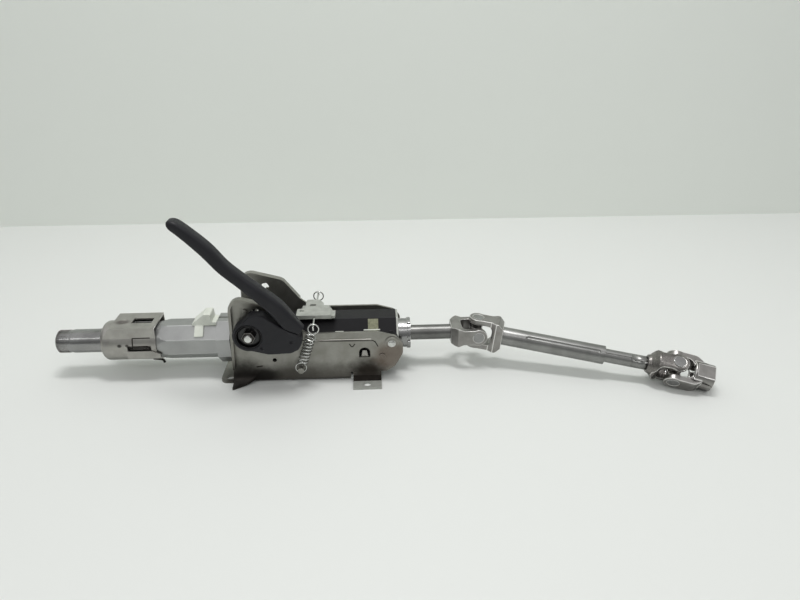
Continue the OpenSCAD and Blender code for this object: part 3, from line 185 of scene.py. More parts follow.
# finishes: light and dark are the tones of the clouding, edge is the tone of the rounded edges, partly wear
# and partly a painted highlight;
# a patch is a soft mark with its middle and half sizes in millimetres: painted shade, or a real oil, heat or
# patina mark, as noted at each patch;
# bothSides repeats the patches on the other cheek
finishLooks = {
    # pressed steel with a grey phosphate coat: dull sheen; painted shade low down, in the bends and at the
    # front lugs, a brown oil mark at the rear, and brown patina with painted shade under the lever
    "phosphatedSteel": {
        "light": "#9b9a94", "dark": "#84837c", "edge": "#d3d2cb", "edgeShare": 0.5, "metallic": 0.85,
        "rough": 0.36, "spread": 0.10, "cloudMm": 24, "grainMm": 0.7, "stretch": (0.25, 1, 1), "bump": 0.10,
        "bothSides": True,
        "patches": [
            # painted shade on the rear foot and its bend
            {"at": (81, -41, 12), "size": (33, 14, 24), "tone": "#241c17", "share": 0.95},
            {"at": (108, -37, 32), "size": (26, 12, 24), "tone": "#5a4436", "share": 0.55},
            # painted shade low down along the cheek
            {"at": (0, -36, 0), "size": (130, 8, 32), "tone": "#3f3b36", "share": 0.75},
            # painted shade on the front lug and its flare
            {"at": (-60, -46, 10), "size": (34, 22, 32), "tone": "#191614", "share": 0.92},
            # painted shade low on the cheek at the front
            {"at": (-38, -38, 9), "size": (22, 9, 17), "tone": "#191614", "share": 0.85},
            # brown patina, with painted shade under the lever handle
            {"at": (-42, -40, 97), "size": (15, 6, 12), "tone": "#2b2520", "share": 0.8},
        ]},
    # zinc plated tube: pale, cool and even, with fine drawing lines along the tube
    "zincPlatedTube": {
        "light": "#aeafae", "dark": "#9d9e9d", "edge": "#dcdddc", "edgeShare": 0.5, "metallic": 0.85,
        "rough": 0.36, "spread": 0.08, "cloudMm": 40, "grainMm": 0.4, "stretch": (0.06, 1, 1), "bump": 0.06},
    # deep drawn steel: slightly warm grey with soft bands
    "drawnSteel": {
        "light": "#b0aea9", "dark": "#9a9893", "edge": "#e0dfdb", "edgeShare": 0.55, "metallic": 0.85,
        "rough": 0.33, "spread": 0.10, "cloudMm": 18, "grainMm": 0.5, "stretch": (0.3, 1, 1), "bump": 0.06,
        "patches": [
            # painted shade: a darker oval in place of the pressed hollow in the roof
            {"at": (-202, -3, 67), "size": (10, 8, 14), "tone": "#5f5654", "share": 0.8},
            {"at": (-203, -23, 46.4), "size": (3.4, 3, 2.6), "tone": "#2c2926", "share": 0.9},
            {"at": (-194.5, -23, 46.4), "size": (2.6, 3, 2.4), "tone": "#3a3632", "share": 0.8},
        ]},
    # painted shade for pressed lines, grooves and bends: dull and nearly black
    "paintedShadeBlack": {
        "light": "#2a2622", "dark": "#1d1a17", "edge": "#2a2622", "edgeShare": 0.2,
        "metallic": 0.0, "gloss": 0.1,
        "rough": 0.85, "spread": 0.1, "cloudMm": 8, "grainMm": 0.6, "stretch": (1, 1, 1), "bump": 0.05},
    # ground steel: bright, with lines around the turned diameter
    "groundSteel": {
        "light": "#a6a6a5", "dark": "#8d8d8c", "edge": "#dcdcdb", "edgeShare": 0.5, "metallic": 1.0,
        "rough": 0.22, "spread": 0.02, "cloudMm": 30, "grainMm": 0.35, "stretch": (1, 0.15, 0.15), "bump": 0},
    # swaged and oiled shaft tube: grey with long streaks
    "swagedSteel": {
        "light": "#7d7d7b", "dark": "#666664", "edge": "#d0d0ce", "edgeShare": 0.6, "metallic": 0.95,
        "rough": 0.36, "spread": 0.03, "cloudMm": 30, "grainMm": 0.6, "stretch": (0.06, 1, 1), "bump": 0},
    # cold drawn steel of the intermediate shaft: grey with fine lines along it
    "coldDrawnSteel": {
        "light": "#979795", "dark": "#7e7e7c", "edge": "#d8d8d6", "edgeShare": 0.6, "metallic": 0.95,
        "rough": 0.34, "spread": 0.03, "cloudMm": 30, "grainMm": 0.6, "stretch": (0.06, 1, 1), "bump": 0},
    # milled steel of the two sheet forks: lighter, with bright corners from wear and a painted highlight
    "milledSteel": {
        "light": "#a09e9b", "dark": "#868481", "edge": "#ecebe8", "edgeShare": 0.8, "metallic": 0.95,
        "rough": 0.33, "spread": 0.04, "cloudMm": 16, "grainMm": 0.5, "stretch": (1, 1, 1), "bump": 0.01},
    # forged and shot blasted steel: darker, with a fine pebbled skin
    "forgedSteel": {
        "light": "#8e8b88", "dark": "#716e6b", "edge": "#dddbd8", "edgeShare": 0.7, "metallic": 0.95,
        "rough": 0.3, "spread": 0.12, "cloudMm": 9, "grainMm": 0.45, "stretch": (1, 1, 1), "bump": 0.1},
    # bright zinc on fasteners and spring wire
    "brightZinc": {
        "light": "#dedfdc", "dark": "#bcbdba", "edge": "#f0f0ee", "edgeShare": 0.4, "metallic": 1.0,
        "rough": 0.2, "spread": 0.08, "cloudMm": 6, "grainMm": 0.4, "stretch": (1, 1, 1), "bump": 0.04},
    # blued steel on the nut, cams, far block and hook: dark with a brown cast
    "bluedSteel": {
        "light": "#3a3836", "dark": "#262423", "edge": "#a19e9a", "edgeShare": 0.6, "metallic": 0.9,
        "rough": 0.28, "spread": 0.10, "cloudMm": 7, "grainMm": 0.4, "stretch": (1, 1, 1), "bump": 0.06},
    # die cast alloy: pale, matt and slightly grainy
    "dieCastAlloy": {
        "light": "#b9bbb5", "dark": "#a3a59f", "edge": "#d8dad4", "edgeShare": 0.45, "metallic": 0.6,
        "rough": 0.5, "spread": 0.08, "cloudMm": 8, "grainMm": 0.5, "stretch": (1, 1, 1), "bump": 0.14},
    # black electro-dipped paint: smooth, slightly glossy, dusty in patches
    "blackDipPaint": {
        "light": "#161518", "dark": "#0e0d10", "edge": "#3c3b3f", "edgeShare": 0.4,
        "metallic": 0.0, "gloss": 0.22,
        "rough": 0.38, "spread": 0.10, "cloudMm": 30, "grainMm": 0.6, "stretch": (1, 1, 1), "bump": 0.05},
    # glass filled nylon: charcoal, satin, with a spark-eroded grain drawn a little coarse to show
    "glassFilledNylon": {
        "light": "#242428", "dark": "#1c1c20", "edge": "#4c4c52", "edgeShare": 0.3,
        "metallic": 0.0, "gloss": 0.3,
        "rough": 0.47, "spread": 0.10, "cloudMm": 35, "grainMm": 0.8, "stretch": (1, 1, 1), "bump": 0.10},
    # greased black rubber in the lever's recess: wet gloss
    "greasedRubber": {
        "light": "#141315", "dark": "#09090a", "edge": "#232225", "edgeShare": 0.3, "metallic": 0.0,
        "rough": 0.16, "spread": 0.10, "cloudMm": 6, "grainMm": 1.2, "stretch": (1, 1, 1), "bump": 0.12},
    # white acetal: milky and smooth
    "whiteAcetal": {
        "light": "#dfe2d8", "dark": "#d0d4c9", "edge": "#eceee8", "edgeShare": 0.3, "metallic": 0.0,
        "rough": 0.42, "spread": 0.06, "cloudMm": 12, "grainMm": 0.8, "stretch": (1, 1, 1), "bump": 0.04},
    # olive felt tape: matt with loose fibres
    "feltTape": {
        "light": "#93947c", "dark": "#777862", "edge": "#a3a48d", "edgeShare": 0.3, "metallic": 0.0,
        "rough": 0.9, "spread": 0.10, "cloudMm": 3, "grainMm": 0.6, "stretch": (1, 1, 1), "bump": 0.5},
}
# shared by all finishes: noise cells in a metre for a size of 1 mm, and where tones and patches begin and end
noiseSet = {"grainCells": 500, "grainDetail": 2, "grainSpan": (0.3, 0.7), "bumpHeight": 0.0003,
            "cloudCells": 1000, "cloudDetail": 5, "cloudRough": 0.6, "toneSpan": (0.32, 0.68),
            "patchWander": 0.5, "patchFade": (0.65, 1.3)}
finishes = {}


def mixTones(tree, share, below, above):
    mixed = addNode(tree, "ShaderNodeMix", {0: share, 6: below, 7: above}, data_type="RGBA")
    return (mixed, 2)


def makeFinish(name, look):
    material = bpy.data.materials.new(name)
    material.use_nodes = True
    tree = material.node_tree
    tree.nodes.clear()
    coords = addNode(tree, "ShaderNodeTexCoord")
    drawn = addNode(tree, "ShaderNodeMapping", {"Vector": (coords, "Object"), "Scale": look["stretch"]})
    grain = addNode(tree, "ShaderNodeTexNoise", {"Vector": (drawn, "Vector"),
                                                 "Detail": noiseSet["grainDetail"],
                                                 "Scale": noiseSet["grainCells"] / look["grainMm"]})
    cloud = addNode(tree, "ShaderNodeTexNoise", {"Vector": (coords, "Object"),
                                                 "Detail": noiseSet["cloudDetail"],
                                                 "Roughness": noiseSet["cloudRough"],
                                                 "Scale": noiseSet["cloudCells"] / look["cloudMm"]})
    tone = addNode(tree, "ShaderNodeValToRGB", {"Fac": (cloud, "Fac")})
    rampStops(tone, zip(noiseSet["toneSpan"], (look["dark"], look["light"])))
    # the rounded edges take the edge tone: wear and a painted highlight
    edges = addNode(tree, "ShaderNodeAttribute", attribute_name="wornEdge")
    edgeWearSheen = addNode(tree, "ShaderNodeMath", {0: (edges, "Fac"), 1: look["edgeShare"]}, operation="MULTIPLY")
    colour = mixTones(tree, (edgeWearSheen, "Value"), (tone, "Color"), hexLinear(look["edge"]))
    sides = (1, -1) if look.get("bothSides") else (1,)
    for patch, side in [(patch, side) for patch in look.get("patches", []) for side in sides]:
        x, y, z = patch["at"]
        local = addNode(tree, "ShaderNodeMapping", {"Vector": (coords, "Object"),
                                                    "Location": [x * mm, side * y * mm, z * mm],
                                                    "Scale": [p * mm for p in patch["size"]]},
                        vector_type="TEXTURE")
        reach = addNode(tree, "ShaderNodeVectorMath", {0: (local, "Vector")}, operation="LENGTH")
        wander = addNode(tree, "ShaderNodeMath", {0: (cloud, "Fac"), 1: noiseSet["patchWander"],
                                                  2: (reach, "Value")}, operation="MULTIPLY_ADD")
        share = addNode(tree, "ShaderNodeMapRange", {"Value": (wander, "Value"),
                                                     "From Min": noiseSet["patchFade"][0],
                                                     "From Max": noiseSet["patchFade"][1],
                                                     "To Min": patch["share"], "To Max": 0.0},
                        interpolation_type="SMOOTHSTEP")
        colour = mixTones(tree, (share, "Result"), colour, hexLinear(patch["tone"]))
    rough = addNode(tree, "ShaderNodeMapRange", {"Value": (grain, "Fac"),
                                                 "From Min": noiseSet["grainSpan"][0],
                                                 "From Max": noiseSet["grainSpan"][1],
                                                 "To Min": look["rough"] - look["spread"] / 2,
                                                 "To Max": look["rough"] + look["spread"] / 2})
    bump = addNode(tree, "ShaderNodeBump", {"Height": (grain, "Fac"), "Strength": look["bump"],
                                            "Distance": noiseSet["bumpHeight"]})
    shader = addNode(tree, "ShaderNodeBsdfPrincipled", {"Base Color": colour, "Metallic": look["metallic"],
                                                        "Roughness": (rough, "Result"),
                                                        "Specular IOR Level": look.get("gloss", 0.5),
                                                        "Normal": (bump, "Normal")})
    addNode(tree, "ShaderNodeOutputMaterial", {"Surface": (shader, "BSDF")})
    finishes[name] = material


for finishName, finishLook in finishLooks.items():
    makeFinish(finishName, finishLook)
print("finishes made:", len(finishes))


# every piece: its finish, the body that carries it and the nodes that it stands for
def finishPiece(piece, finish, body, nodeNames=()):
    piece.data.materials.clear()
    piece.data.materials.append(finishes[finish])
    if body:
        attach(piece, body)
    if nodeNames:
        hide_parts(*nodeNames)
    return piece


def newPiece(name, mesh):
    piece = bpy.data.objects.new(name, mesh)
    bpy.context.scene.collection.objects.link(piece)
    return piece


def meshOf(name, points, faces, edges=()):
    mesh = bpy.data.meshes.new(name)
    mesh.from_pydata(points, edges, faces)
    return mesh


# the evaluated shape becomes the piece's own plain mesh
def bakeModifiers(piece):
    graph = bpy.context.evaluated_depsgraph_get()
    mesh = bpy.data.meshes.new_from_object(piece.evaluated_get(graph), preserve_all_data_layers=True,
                                           depsgraph=graph)
    piece.modifiers.clear()
    piece.data = mesh
    mesh.name = piece.name
    return piece


def faceOutward(mesh):
    bm = bmesh.new()
    bm.from_mesh(mesh)
    bmesh.ops.recalc_face_normals(bm, faces=bm.faces)
    bm.to_mesh(mesh)
    bm.free()


def cutAway(piece, tool, join=False):
    cut = piece.modifiers.new("cut", "BOOLEAN")
    cut.operation = "UNION" if join else "DIFFERENCE"
    cut.solver = "EXACT"
    cut.object = tool
    bakeModifiers(piece)
    bpy.data.objects.remove(tool)
    return piece


# merge gap in metres, angles in degrees: flat faces are joined and sharper bends are rounded
edgeSet = {"mergeGap": 2e-6, "flatAngle": 0.3, "bendAngle": 28}


def solidCopy(name, node):
    bm = bmesh.new()
    bm.from_mesh(cadNodes[node].data)
    bmesh.ops.remove_doubles(bm, verts=bm.verts, dist=edgeSet["mergeGap"])
    flat = math.radians(edgeSet["flatAngle"])
    bmesh.ops.dissolve_limit(bm, angle_limit=flat, verts=bm.verts, edges=bm.edges)
    mesh = bpy.data.meshes.new(name)
    bm.to_mesh(mesh)
    bm.free()
    if "custom_normal" in mesh.attributes:
        mesh.attributes.remove(mesh.attributes["custom_normal"])
    mesh.shade_smooth()
    return newPiece(name, mesh)


# rounded edges; the bevel puts its faces in a second slot, which marks them for the edge tone of wear and
# painted highlight
def roundEdges(piece, width, steps=2, clamped=True):
    for _ in range(2):
        piece.data.materials.append(None)
    bevel = piece.modifiers.new("edges", "BEVEL")
    bevel.material = 1
    bevel.width = width * mm
    bevel.segments = steps
    bevel.limit_method = "ANGLE"
    bevel.angle_limit = math.radians(edgeSet["bendAngle"])
    bevel.use_clamp_overlap = clamped
    bevel.miter_outer = "MITER_ARC"
    normals = piece.modifiers.new("normals", "WEIGHTED_NORMAL")
    normals.keep_sharp = True
    bakeModifiers(piece)
    edgeWearSheen = piece.data.attributes.new("wornEdge", "FLOAT", "FACE")
    for face in piece.data.polygons:
        edgeWearSheen.data[face.index].value = float(face.material_index == 1)
        face.material_index = 0
    return piece


# geometry trees: the sizes are named inputs, set by their identifiers before the shape is worked out
def startTree(name, sizes):
    tree = bpy.data.node_groups.new(name, "GeometryNodeTree")
    tree.interface.new_socket("Geometry", in_out="INPUT", socket_type="NodeSocketGeometry")
    for label, kind in sizes.items():
        tree.interface.new_socket(label, in_out="INPUT", socket_type=kind)
    tree.interface.new_socket("Geometry", in_out="OUTPUT", socket_type="NodeSocketGeometry")
    return tree, addNode(tree, "NodeGroupInput")


def endTree(tree, start, shape):
    smooth = addNode(tree, "GeometryNodeSetShadeSmooth", {"Geometry": shape})
    real = addNode(tree, "GeometryNodeRealizeInstances", {"Geometry": (smooth, "Geometry")})
    coated = addNode(tree, "GeometryNodeSetMaterial", {"Geometry": (real, "Geometry"),
                                                       "Material": (start, "Finish")})
    addNode(tree, "NodeGroupOutput", {"Geometry": (coated, "Geometry")})
    return tree


def growPiece(name, mesh, tree, values):
    piece = newPiece(name, mesh)
    grown = piece.modifiers.new("grow", "NODES")
    grown.node_group = tree
    sockets = {s.name: s.identifier for s in tree.interface.items_tree
               if s.item_type == "SOCKET" and s.in_out == "INPUT"}
    for label, value in values.items():
        grown[sockets[label]] = value
    return bakeModifiers(piece)


# round wire along the edges of a line
wireTree, wireStart = startTree("roundWire", {"Wire Radius": "NodeSocketFloat", "Sides": "NodeSocketInt",
                                              "Finish": "NodeSocketMaterial"})
wireLine = addNode(wireTree, "GeometryNodeMeshToCurve", {"Mesh": (wireStart, "Geometry")})
wireRound = addNode(wireTree, "GeometryNodeCurvePrimitiveCircle", {"Resolution": (wireStart, "Sides"),
                                                                   "Radius": (wireStart, "Wire Radius")})
wireSkin = addNode(wireTree, "GeometryNodeCurveToMesh", {"Curve": (wireLine, "Curve"), "Fill Caps": True,
                                                         "Profile Curve": (wireRound, "Curve")})
endTree(wireTree, wireStart, (wireSkin, "Mesh"))

# three-sided teeth around an axis along Z
toothSides = 3
teethTree, teethStart = startTree("toothRing", {"Count": "NodeSocketInt", "Ring Radius": "NodeSocketFloat",
                                                "Tooth Radius": "NodeSocketFloat",
                                                "Tooth Length": "NodeSocketFloat",
                                                "Finish": "NodeSocketMaterial"})
teethRing = addNode(teethTree, "GeometryNodeMeshCircle", {"Vertices": (teethStart, "Count"),
                                                          "Radius": (teethStart, "Ring Radius")})
toothForm = addNode(teethTree, "GeometryNodeMeshCylinder", {"Vertices": toothSides,
                                                            "Radius": (teethStart, "Tooth Radius"),
                                                            "Depth": (teethStart, "Tooth Length")})
toothPlace = addNode(teethTree, "GeometryNodeInputPosition")
toothTurn = addNode(teethTree, "FunctionNodeAlignRotationToVector", {"Vector": (toothPlace, "Position")},
                    axis="X", pivot_axis="Z")
teethSet = addNode(teethTree, "GeometryNodeInstanceOnPoints", {"Points": (teethRing, "Mesh"),
                                                               "Instance": (toothForm, "Mesh"),
                                                               "Rotation": (toothTurn, "Rotation")})
endTree(teethTree, teethStart, (teethSet, "Instances"))

# screw thread along Z
threadSteps = 24  # points in one turn
ridgeSides = 5
threadTree, threadStart = startTree("screwThread", {"Turns": "NodeSocketFloat",
                                                    "Thread Radius": "NodeSocketFloat",
                                                    "Length": "NodeSocketFloat", "Depth": "NodeSocketFloat",
                                                    "Finish": "NodeSocketMaterial"})
threadLine = addNode(threadTree, "GeometryNodeCurveSpiral", {"Resolution": threadSteps,
                                                             "Rotations": (threadStart, "Turns"),
                                                             "Start Radius": (threadStart, "Thread Radius"),
                                                             "End Radius": (threadStart, "Thread Radius"),
                                                             "Height": (threadStart, "Length")})
threadRidge = addNode(threadTree, "GeometryNodeCurvePrimitiveCircle", {"Resolution": ridgeSides,
                                                                       "Radius": (threadStart, "Depth")})
threadSkin = addNode(threadTree, "GeometryNodeCurveToMesh", {"Curve": (threadLine, "Curve"),
                                                             "Fill Caps": True,
                                                             "Profile Curve": (threadRidge, "Curve")})
endTree(threadTree, threadStart, (threadSkin, "Mesh"))


def wirePiece(name, points, radius, sides, finish):
    edges = [(i, i + 1) for i in range(len(points) - 1)]
    piece = growPiece(name, meshOf(name, points, [], edges), wireTree,
                      {"Wire Radius": radius, "Sides": sides, "Finish": finishes[finish]})
    faceOutward(piece.data)
    return piece


# a small wire that is part of a node's piece: radius in millimetres
def detailWire(name, points, radius, sides, finish, node):
    piece = wirePiece(name, points, radius * mm, sides, finish)
    return finishPiece(piece, finish, bodyOf[node])


# corners (along, up, corner radius) become a closed outline with round corners
def roundedOutline(corners, steps=8):
    points = []
    count = len(corners)
    for i, (x, z, radius) in enumerate(corners):
        here = Vector((x, z))
        before = (Vector(corners[i - 1][:2]) - here).normalized()
        after = (Vector(corners[(i + 1) % count][:2]) - here).normalized()
        opening = before.angle(after)
        middle = here + (before + after).normalized() * radius / math.sin(opening / 2)
        first = here + before * radius / math.tan(opening / 2) - middle
        sweep = math.pi - opening
        way = 1 if first.x * after.y - first.y * after.x > 0 else -1
        for step in range(steps + 1):
            a = way * sweep * step / steps
            points.append(middle + Matrix.Rotation(a, 2) @ first)
    return points


def prismAlongY(name, outline, y0, y1):
    count = len(outline)
    points = [(p.x, y, p.y) for y in (y0, y1) for p in outline]
    faces = [tuple(range(count)), tuple(reversed(range(count, 2 * count)))]
    faces += [(i, i + count, (i + 1) % count + count, (i + 1) % count) for i in range(count)]
    mesh = meshOf(name, [Vector(p) * mm for p in points], faces)
    faceOutward(mesh)
    return newPiece(name, mesh)


def circleOutline(centre, radius, steps=64):
    angles = [2 * math.pi * i / steps for i in range(steps)]
    return [centre + Vector((radius * math.cos(a), radius * math.sin(a))) for a in angles]


# a ball-shaped dent: place and radii in millimetres
def pressedBall(piece, place, radii):
    tool = bpy.data.meshes.new("ball")
    bm = bmesh.new()
    bmesh.ops.create_uvsphere(bm, u_segments=32, v_segments=16, radius=1)
    bmesh.ops.scale(bm, vec=Vector(radii) * mm, verts=bm.verts)
    bmesh.ops.translate(bm, vec=Vector(place) * mm, verts=bm.verts)
    bm.to_mesh(tool)
    bm.free()
    cutAway(piece, newPiece("ball", tool))


# a line laid on one side of a piece: corners are (x, z), and each point is found from outside the piece
castFrom = 90


def lineOnSide(piece, corners, steps, side, sunk):
    bm = bmesh.new()
    bm.from_mesh(piece.data)
    surface = BVHTree.FromBMesh(bm)
    bm.free()
    route = []
    for (x0, z0), (x1, z1) in zip(corners, corners[1:]):
        for step in range(1 if route else 0, steps + 1):
            x, z = [a + (b - a) * step / steps for a, b in ((x0, x1), (z0, z1))]
            hit = surface.ray_cast(Vector((x, side * castFrom, z)) * mm, Vector((0, -side, 0)))[0]
            route.append(hit - Vector((0, side * sunk, 0)) * mm)
    return route


def smoothShare(value, start, end):
    t = min(max((value - start) / (end - start), 0), 1)
    return t * t * (3 - 2 * t)


# the cheeks stand a little higher at the front, and a slanted slot is open in each of them
consoleShape = {"rise": 5.5, "riseX": (5, -35), "riseZ": (78, 102), "face": 36, "wall": 3,
                "slot": [(-46, 98, 1), (-38.5, 96.8, 2), (-36, 92.5, 1.5), (-37, 87.5, 1.2), (-43, 90, 1)]}


def shapeConsole(piece):
    look = consoleShape
    for vertex in piece.data.vertices:
        share = smoothShare(vertex.co.x / mm, *look["riseX"]) * smoothShare(vertex.co.z / mm, *look["riseZ"])
        vertex.co.z += look["rise"] * mm * share
    for side in (-1, 1):
        middle = side * (look["face"] - look["wall"] / 2)
        cutAway(piece, prismAlongY("slot", roundedOutline(look["slot"]), middle - look["wall"],
                                   middle + look["wall"]))


# the guide tube is bare ahead of this place, in metres, and black behind it
bareMouth = -0.0765


def shapeGuide(piece):
    bm = bmesh.new()
    bm.from_mesh(piece.data)
    bmesh.ops.bisect_plane(bm, geom=bm.verts[:] + bm.edges[:] + bm.faces[:], plane_no=(1, 0, 0),
                           plane_co=(bareMouth, 0, 0))
    bm.to_mesh(piece.data)
    bm.free()


# the front of the lock housing is drawn back a little
housingShape = {"back": 5.5, "backX": (-205, -232)}


def shapeHousing(piece):
    for vertex in piece.data.vertices:
        share = smoothShare(vertex.co.x / mm, *housingShape["backX"])
        vertex.co.x += housingShape["back"] * mm * share


# the forged fork: its hub is drawn up short and round behind the joint
forkShape = {"joint": jointAt["second_joint_swing"] / mm, "start": 20, "share": 0.46}
slideAxis = Vector(next(j["axis"] for j in record["behaviour"]["joints"] if j["name"] == "shaft_slide"))


def shapeFork(piece):
    look = forkShape
    for vertex in piece.data.vertices:
        behind = (look["joint"] - vertex.co / mm).dot(slideAxis) - look["start"]
        if behind > 0:
            vertex.co += slideAxis * behind * (1 - look["share"]) * mm


reshape = {"yoke_3": shapeFork, "console": shapeConsole, "guide_tube": shapeGuide,
           "lock_housing": shapeHousing}


# solids that keep their shape and get rounded edges, by finish: {node: edge radius in millimetres}
solidLooks = {
    "phosphatedSteel": {"console": 0.5, "tilt_rack_right": 0.15, "tilt_rack_left": 0.15, "spring_posts": 0.3,
                        "console_rivets": 0.5, "pivot_bush_right": 0.2, "pivot_bush_left": 0.2},
    "bluedSteel": {"clamp_nut": 0.6, "fixed_cam": 0.3, "far_block": 0.3, "moving_cam": 0.3},
    "greasedRubber": {"clamp_washer": 0.3},
    "whiteAcetal": {"jacket_clip": 0.6},
    "drawnSteel": {"lock_housing": 0.6, "lock_flap": 0.3, "side_plug_right": 0.3, "side_plug_left": 0.3},
    "brightZinc": {"pivot_pins": 0.3, "clamp_bolt": 0.7, "spring_bail": 0.3},
    "blackDipPaint": {"guide_tube": 0.8, "clamp_ear_right": 0.6, "clamp_ear_left": 0.6},
    "dieCastAlloy": {"end_plate": 0.5, "spring_bridge": 0.7},
    "feltTape": {"damper_pad": 0.3},
    "zincPlatedTube": {"jacket_tube": 0.7},
    "groundSteel": {"bearing_collar": 0.4, "upper_shaft": 0.4,
                    "yoke_1_cup_right": 0.5, "yoke_1_cup_left": 0.5, "yoke_2_cup_upper": 0.5,
                    "yoke_2_cup_lower": 0.5, "yoke_3_cup_upper": 0.5, "yoke_3_cup_lower": 0.5,
                    "end_yoke_cup_upper": 0.5, "end_yoke_cup_lower": 0.5},
    "swagedSteel": {"lower_shaft": 0.4},
    "coldDrawnSteel": {"mid_tube": 0.5, "mid_inner": 0.3},
    "milledSteel": {"yoke_1": 0.6, "yoke_2": 0.6, "end_yoke": 0.8},
    "forgedSteel": {"yoke_3": 0.8, "cross_1": 0.4, "cross_2": 0.4, "lock_ring": 0.3},
}
# their edges are rounded in full where two bends lie close together
crispNodes = ["yoke_1", "yoke_2", "yoke_3", "end_yoke", "jacket_tube"]
solidPieces = {}
for finish, edgeWidths in solidLooks.items():
    for node, width in edgeWidths.items():
        piece = solidCopy(node + "_piece", node)
        if node in reshape:
            reshape[node](piece)
        roundEdges(piece, width, clamped=node not in crispNodes)
        solidPieces[node] = finishPiece(piece, finish, bodyOf[node], [node])
guideTube = solidPieces["guide_tube"].data
guideTube.materials.append(finishes["zincPlatedTube"])
for face in guideTube.polygons:
    face.material_index = int(face.center.x < bareMouth)
# the flanges of the rear feet are rubbed pale and their bends carry painted shade
footShape = {"top": 3.6, "flangeSide": 45, "bendTop": 9, "bendSide": 37, "from": 62, "to": 100}
consoleMesh = solidPieces["console"].data
consoleMesh.materials.append(finishes["dieCastAlloy"])
consoleMesh.materials.append(finishes["paintedShadeBlack"])
for face in consoleMesh.polygons:
    at = face.center / mm
    if footShape["from"] < at.x < footShape["to"]:
        if at.z < footShape["top"] and abs(at.y) > footShape["flangeSide"]:
            face.material_index = 1
        elif at.z < footShape["bendTop"] and abs(at.y) > footShape["bendSide"]:
            face.material_index = 2
print("solids with rounded edges:", len(solidPieces))

# inner pieces keep their solids
innerLooks = {
    "phosphatedSteel": ["friction_plate_right", "friction_plate_left"],
    "whiteAcetal": ["slide_bush_front", "slide_bush_rear"],
    "groundSteel": ["lower_bearing", "upper_bearing", "upper_race", "lower_race"],
    "forgedSteel": ["circlip"],
}
for finish, nodes in innerLooks.items():
    for node in nodes:
        cadNodes[node].data.materials.clear()
        cadNodes[node].data.materials.append(finishes[finish])
print("inner solids painted")


# balance springs: a ring at each end, a quarter sweep into the coil and the coil itself, in millimetres
springShape = {"low": (5, 23.2), "high": (22, 73.2), "side": 42.8, "ring": 6, "coil": 5.5, "turns": 8,
               "wire": 0.8, "lead": 3, "sweep": 4, "sweepSteps": 8, "ringAngles": (100, 400), "ringStep": 10,
               "stepsPerTurn": 28, "sides": 10,
               "post": (5, 20.4), "bail": (22, 76.9)}


def ringPoint(angle):
    a = math.radians(angle)
    return Vector((springShape["ring"] * math.cos(a), 0, springShape["ring"] * math.sin(a)))


def springLine(length):
    start = springShape["ring"] + springShape["lead"]
    enterAngle, exitAngle = springShape["ringAngles"]
    leave = ringPoint(exitAngle)
    onward = math.radians(exitAngle)
    first = Vector((-springShape["coil"], 0, start))
    controls = [leave, leave + springShape["sweep"] * Vector((-math.sin(onward), 0, math.cos(onward))),
                first + Vector((0, springShape["sweep"], 0)), first]
    ends = [ringPoint(angle) for angle in range(enterAngle, exitAngle + 1, springShape["ringStep"])]
    for step in range(1, springShape["sweepSteps"]):
        t = step / springShape["sweepSteps"]
        weights = ((1 - t) ** 3, 3 * t * (1 - t) ** 2, 3 * t * t * (1 - t), t ** 3)
        ends.append(sum((w * c for w, c in zip(weights, controls)), Vector()))
    steps = springShape["stepsPerTurn"] * springShape["turns"]
    coil = []
    for step in range(steps + 1):
        a = math.pi + 2 * math.pi * springShape["turns"] * step / steps
        rise = start + (length - 2 * start) * step / steps
        coil.append(Vector((springShape["coil"] * math.cos(a), springShape["coil"] * math.sin(a), rise)))
    return ends + coil + [Vector((p.x, -p.y, length - p.z)) for p in reversed(ends)]


springLow, springHigh = Vector(springShape["low"]), Vector(springShape["high"])
springLean = math.atan2(springHigh.x - springLow.x, springHigh.y - springLow.y)
springTurn = Matrix.Rotation(springLean, 3, "Y")
for node, side in (("spring_right", -1), ("spring_left", 1)):
    foot = Vector((springLow.x, side * springShape["side"], springLow.y))
    route = []
    for point in springLine((springHigh - springLow).length):
        placed = springTurn @ point
        route.append((foot + Vector((placed.x, -side * placed.y, placed.z))) * mm)
    spring = wirePiece(node + "_wire", route, springShape["wire"] * mm, springShape["sides"], "brightZinc")
    finishPiece(spring, "brightZinc", None, [node])  # blend carries it between two bodies
    across = side * springShape["side"]
    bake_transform(spring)
print("balance springs wound")

# clamp lever: a flat hub around the clamp bolt and a handle folded back over it
leverShape = {
    "inner": 42.65, "hubThick": 13.5, "floor": 7.5, "boss": 18, "recess": 14.5, "bore": 4.05,
    "fold": (57.5, -2), "foldBack": 8, "handleLength": 178, "slope": 47, "width": 17.5, "thick": 12,
    # shares of the handle's length where it reaches its full width and where its tip begins to round off
    "widenBy": 0.12, "lift": 0.2, "tipFrom": 0.95, "tipLength": 0.052, "tipLeast": 0.02, "squareness": 0.55,
    # hub outline from the clamp bolt: along, up and corner radius
    "outline": [(-12, -14, 6), (20, -23, 14), (45, -22, 8), (53.5, -17.5, 5), (57.5, -10, 4), (57.5, -1, 4),
                (36, 10.5, 8), (17, 26, 6), (4, 26, 8), (-13, 11, 6)],
    # share of the handle's length: how far its middle stands off the straight line, and how much it swells
    "rise": [(0, 6), (0.2, 11.8), (0.33, 11.3), (0.47, 9.7), (0.6, 8.4), (0.74, 10.6), (0.9, 10), (1, 8)],
    "swell": [(0, 1.5), (0.2, 1.48), (0.33, 1.32), (0.47, 1.17), (0.6, 1.16), (0.74, 1.2), (0.9, 1.05),
              (1, 0.95)],
    # crease between hub and handle, and two small sink marks, from the clamp bolt
    "crease": [(35.5, 11.6), (62, -2.6)], "creaseWide": 1.5, "creaseDeep": 7, "creaseOver": 8,
    "sinkMarks": [(45.5, -7.8), (13, -14.5)], "sinkRadius": 1.6, "sinkSides": 16,
    "sinkDeep": 2, "cutPast": 1,
    "rings": 90, "sides": 40, "voxel": 0.75, "smoothSteps": 6, "smoothShare": 0.5,
}


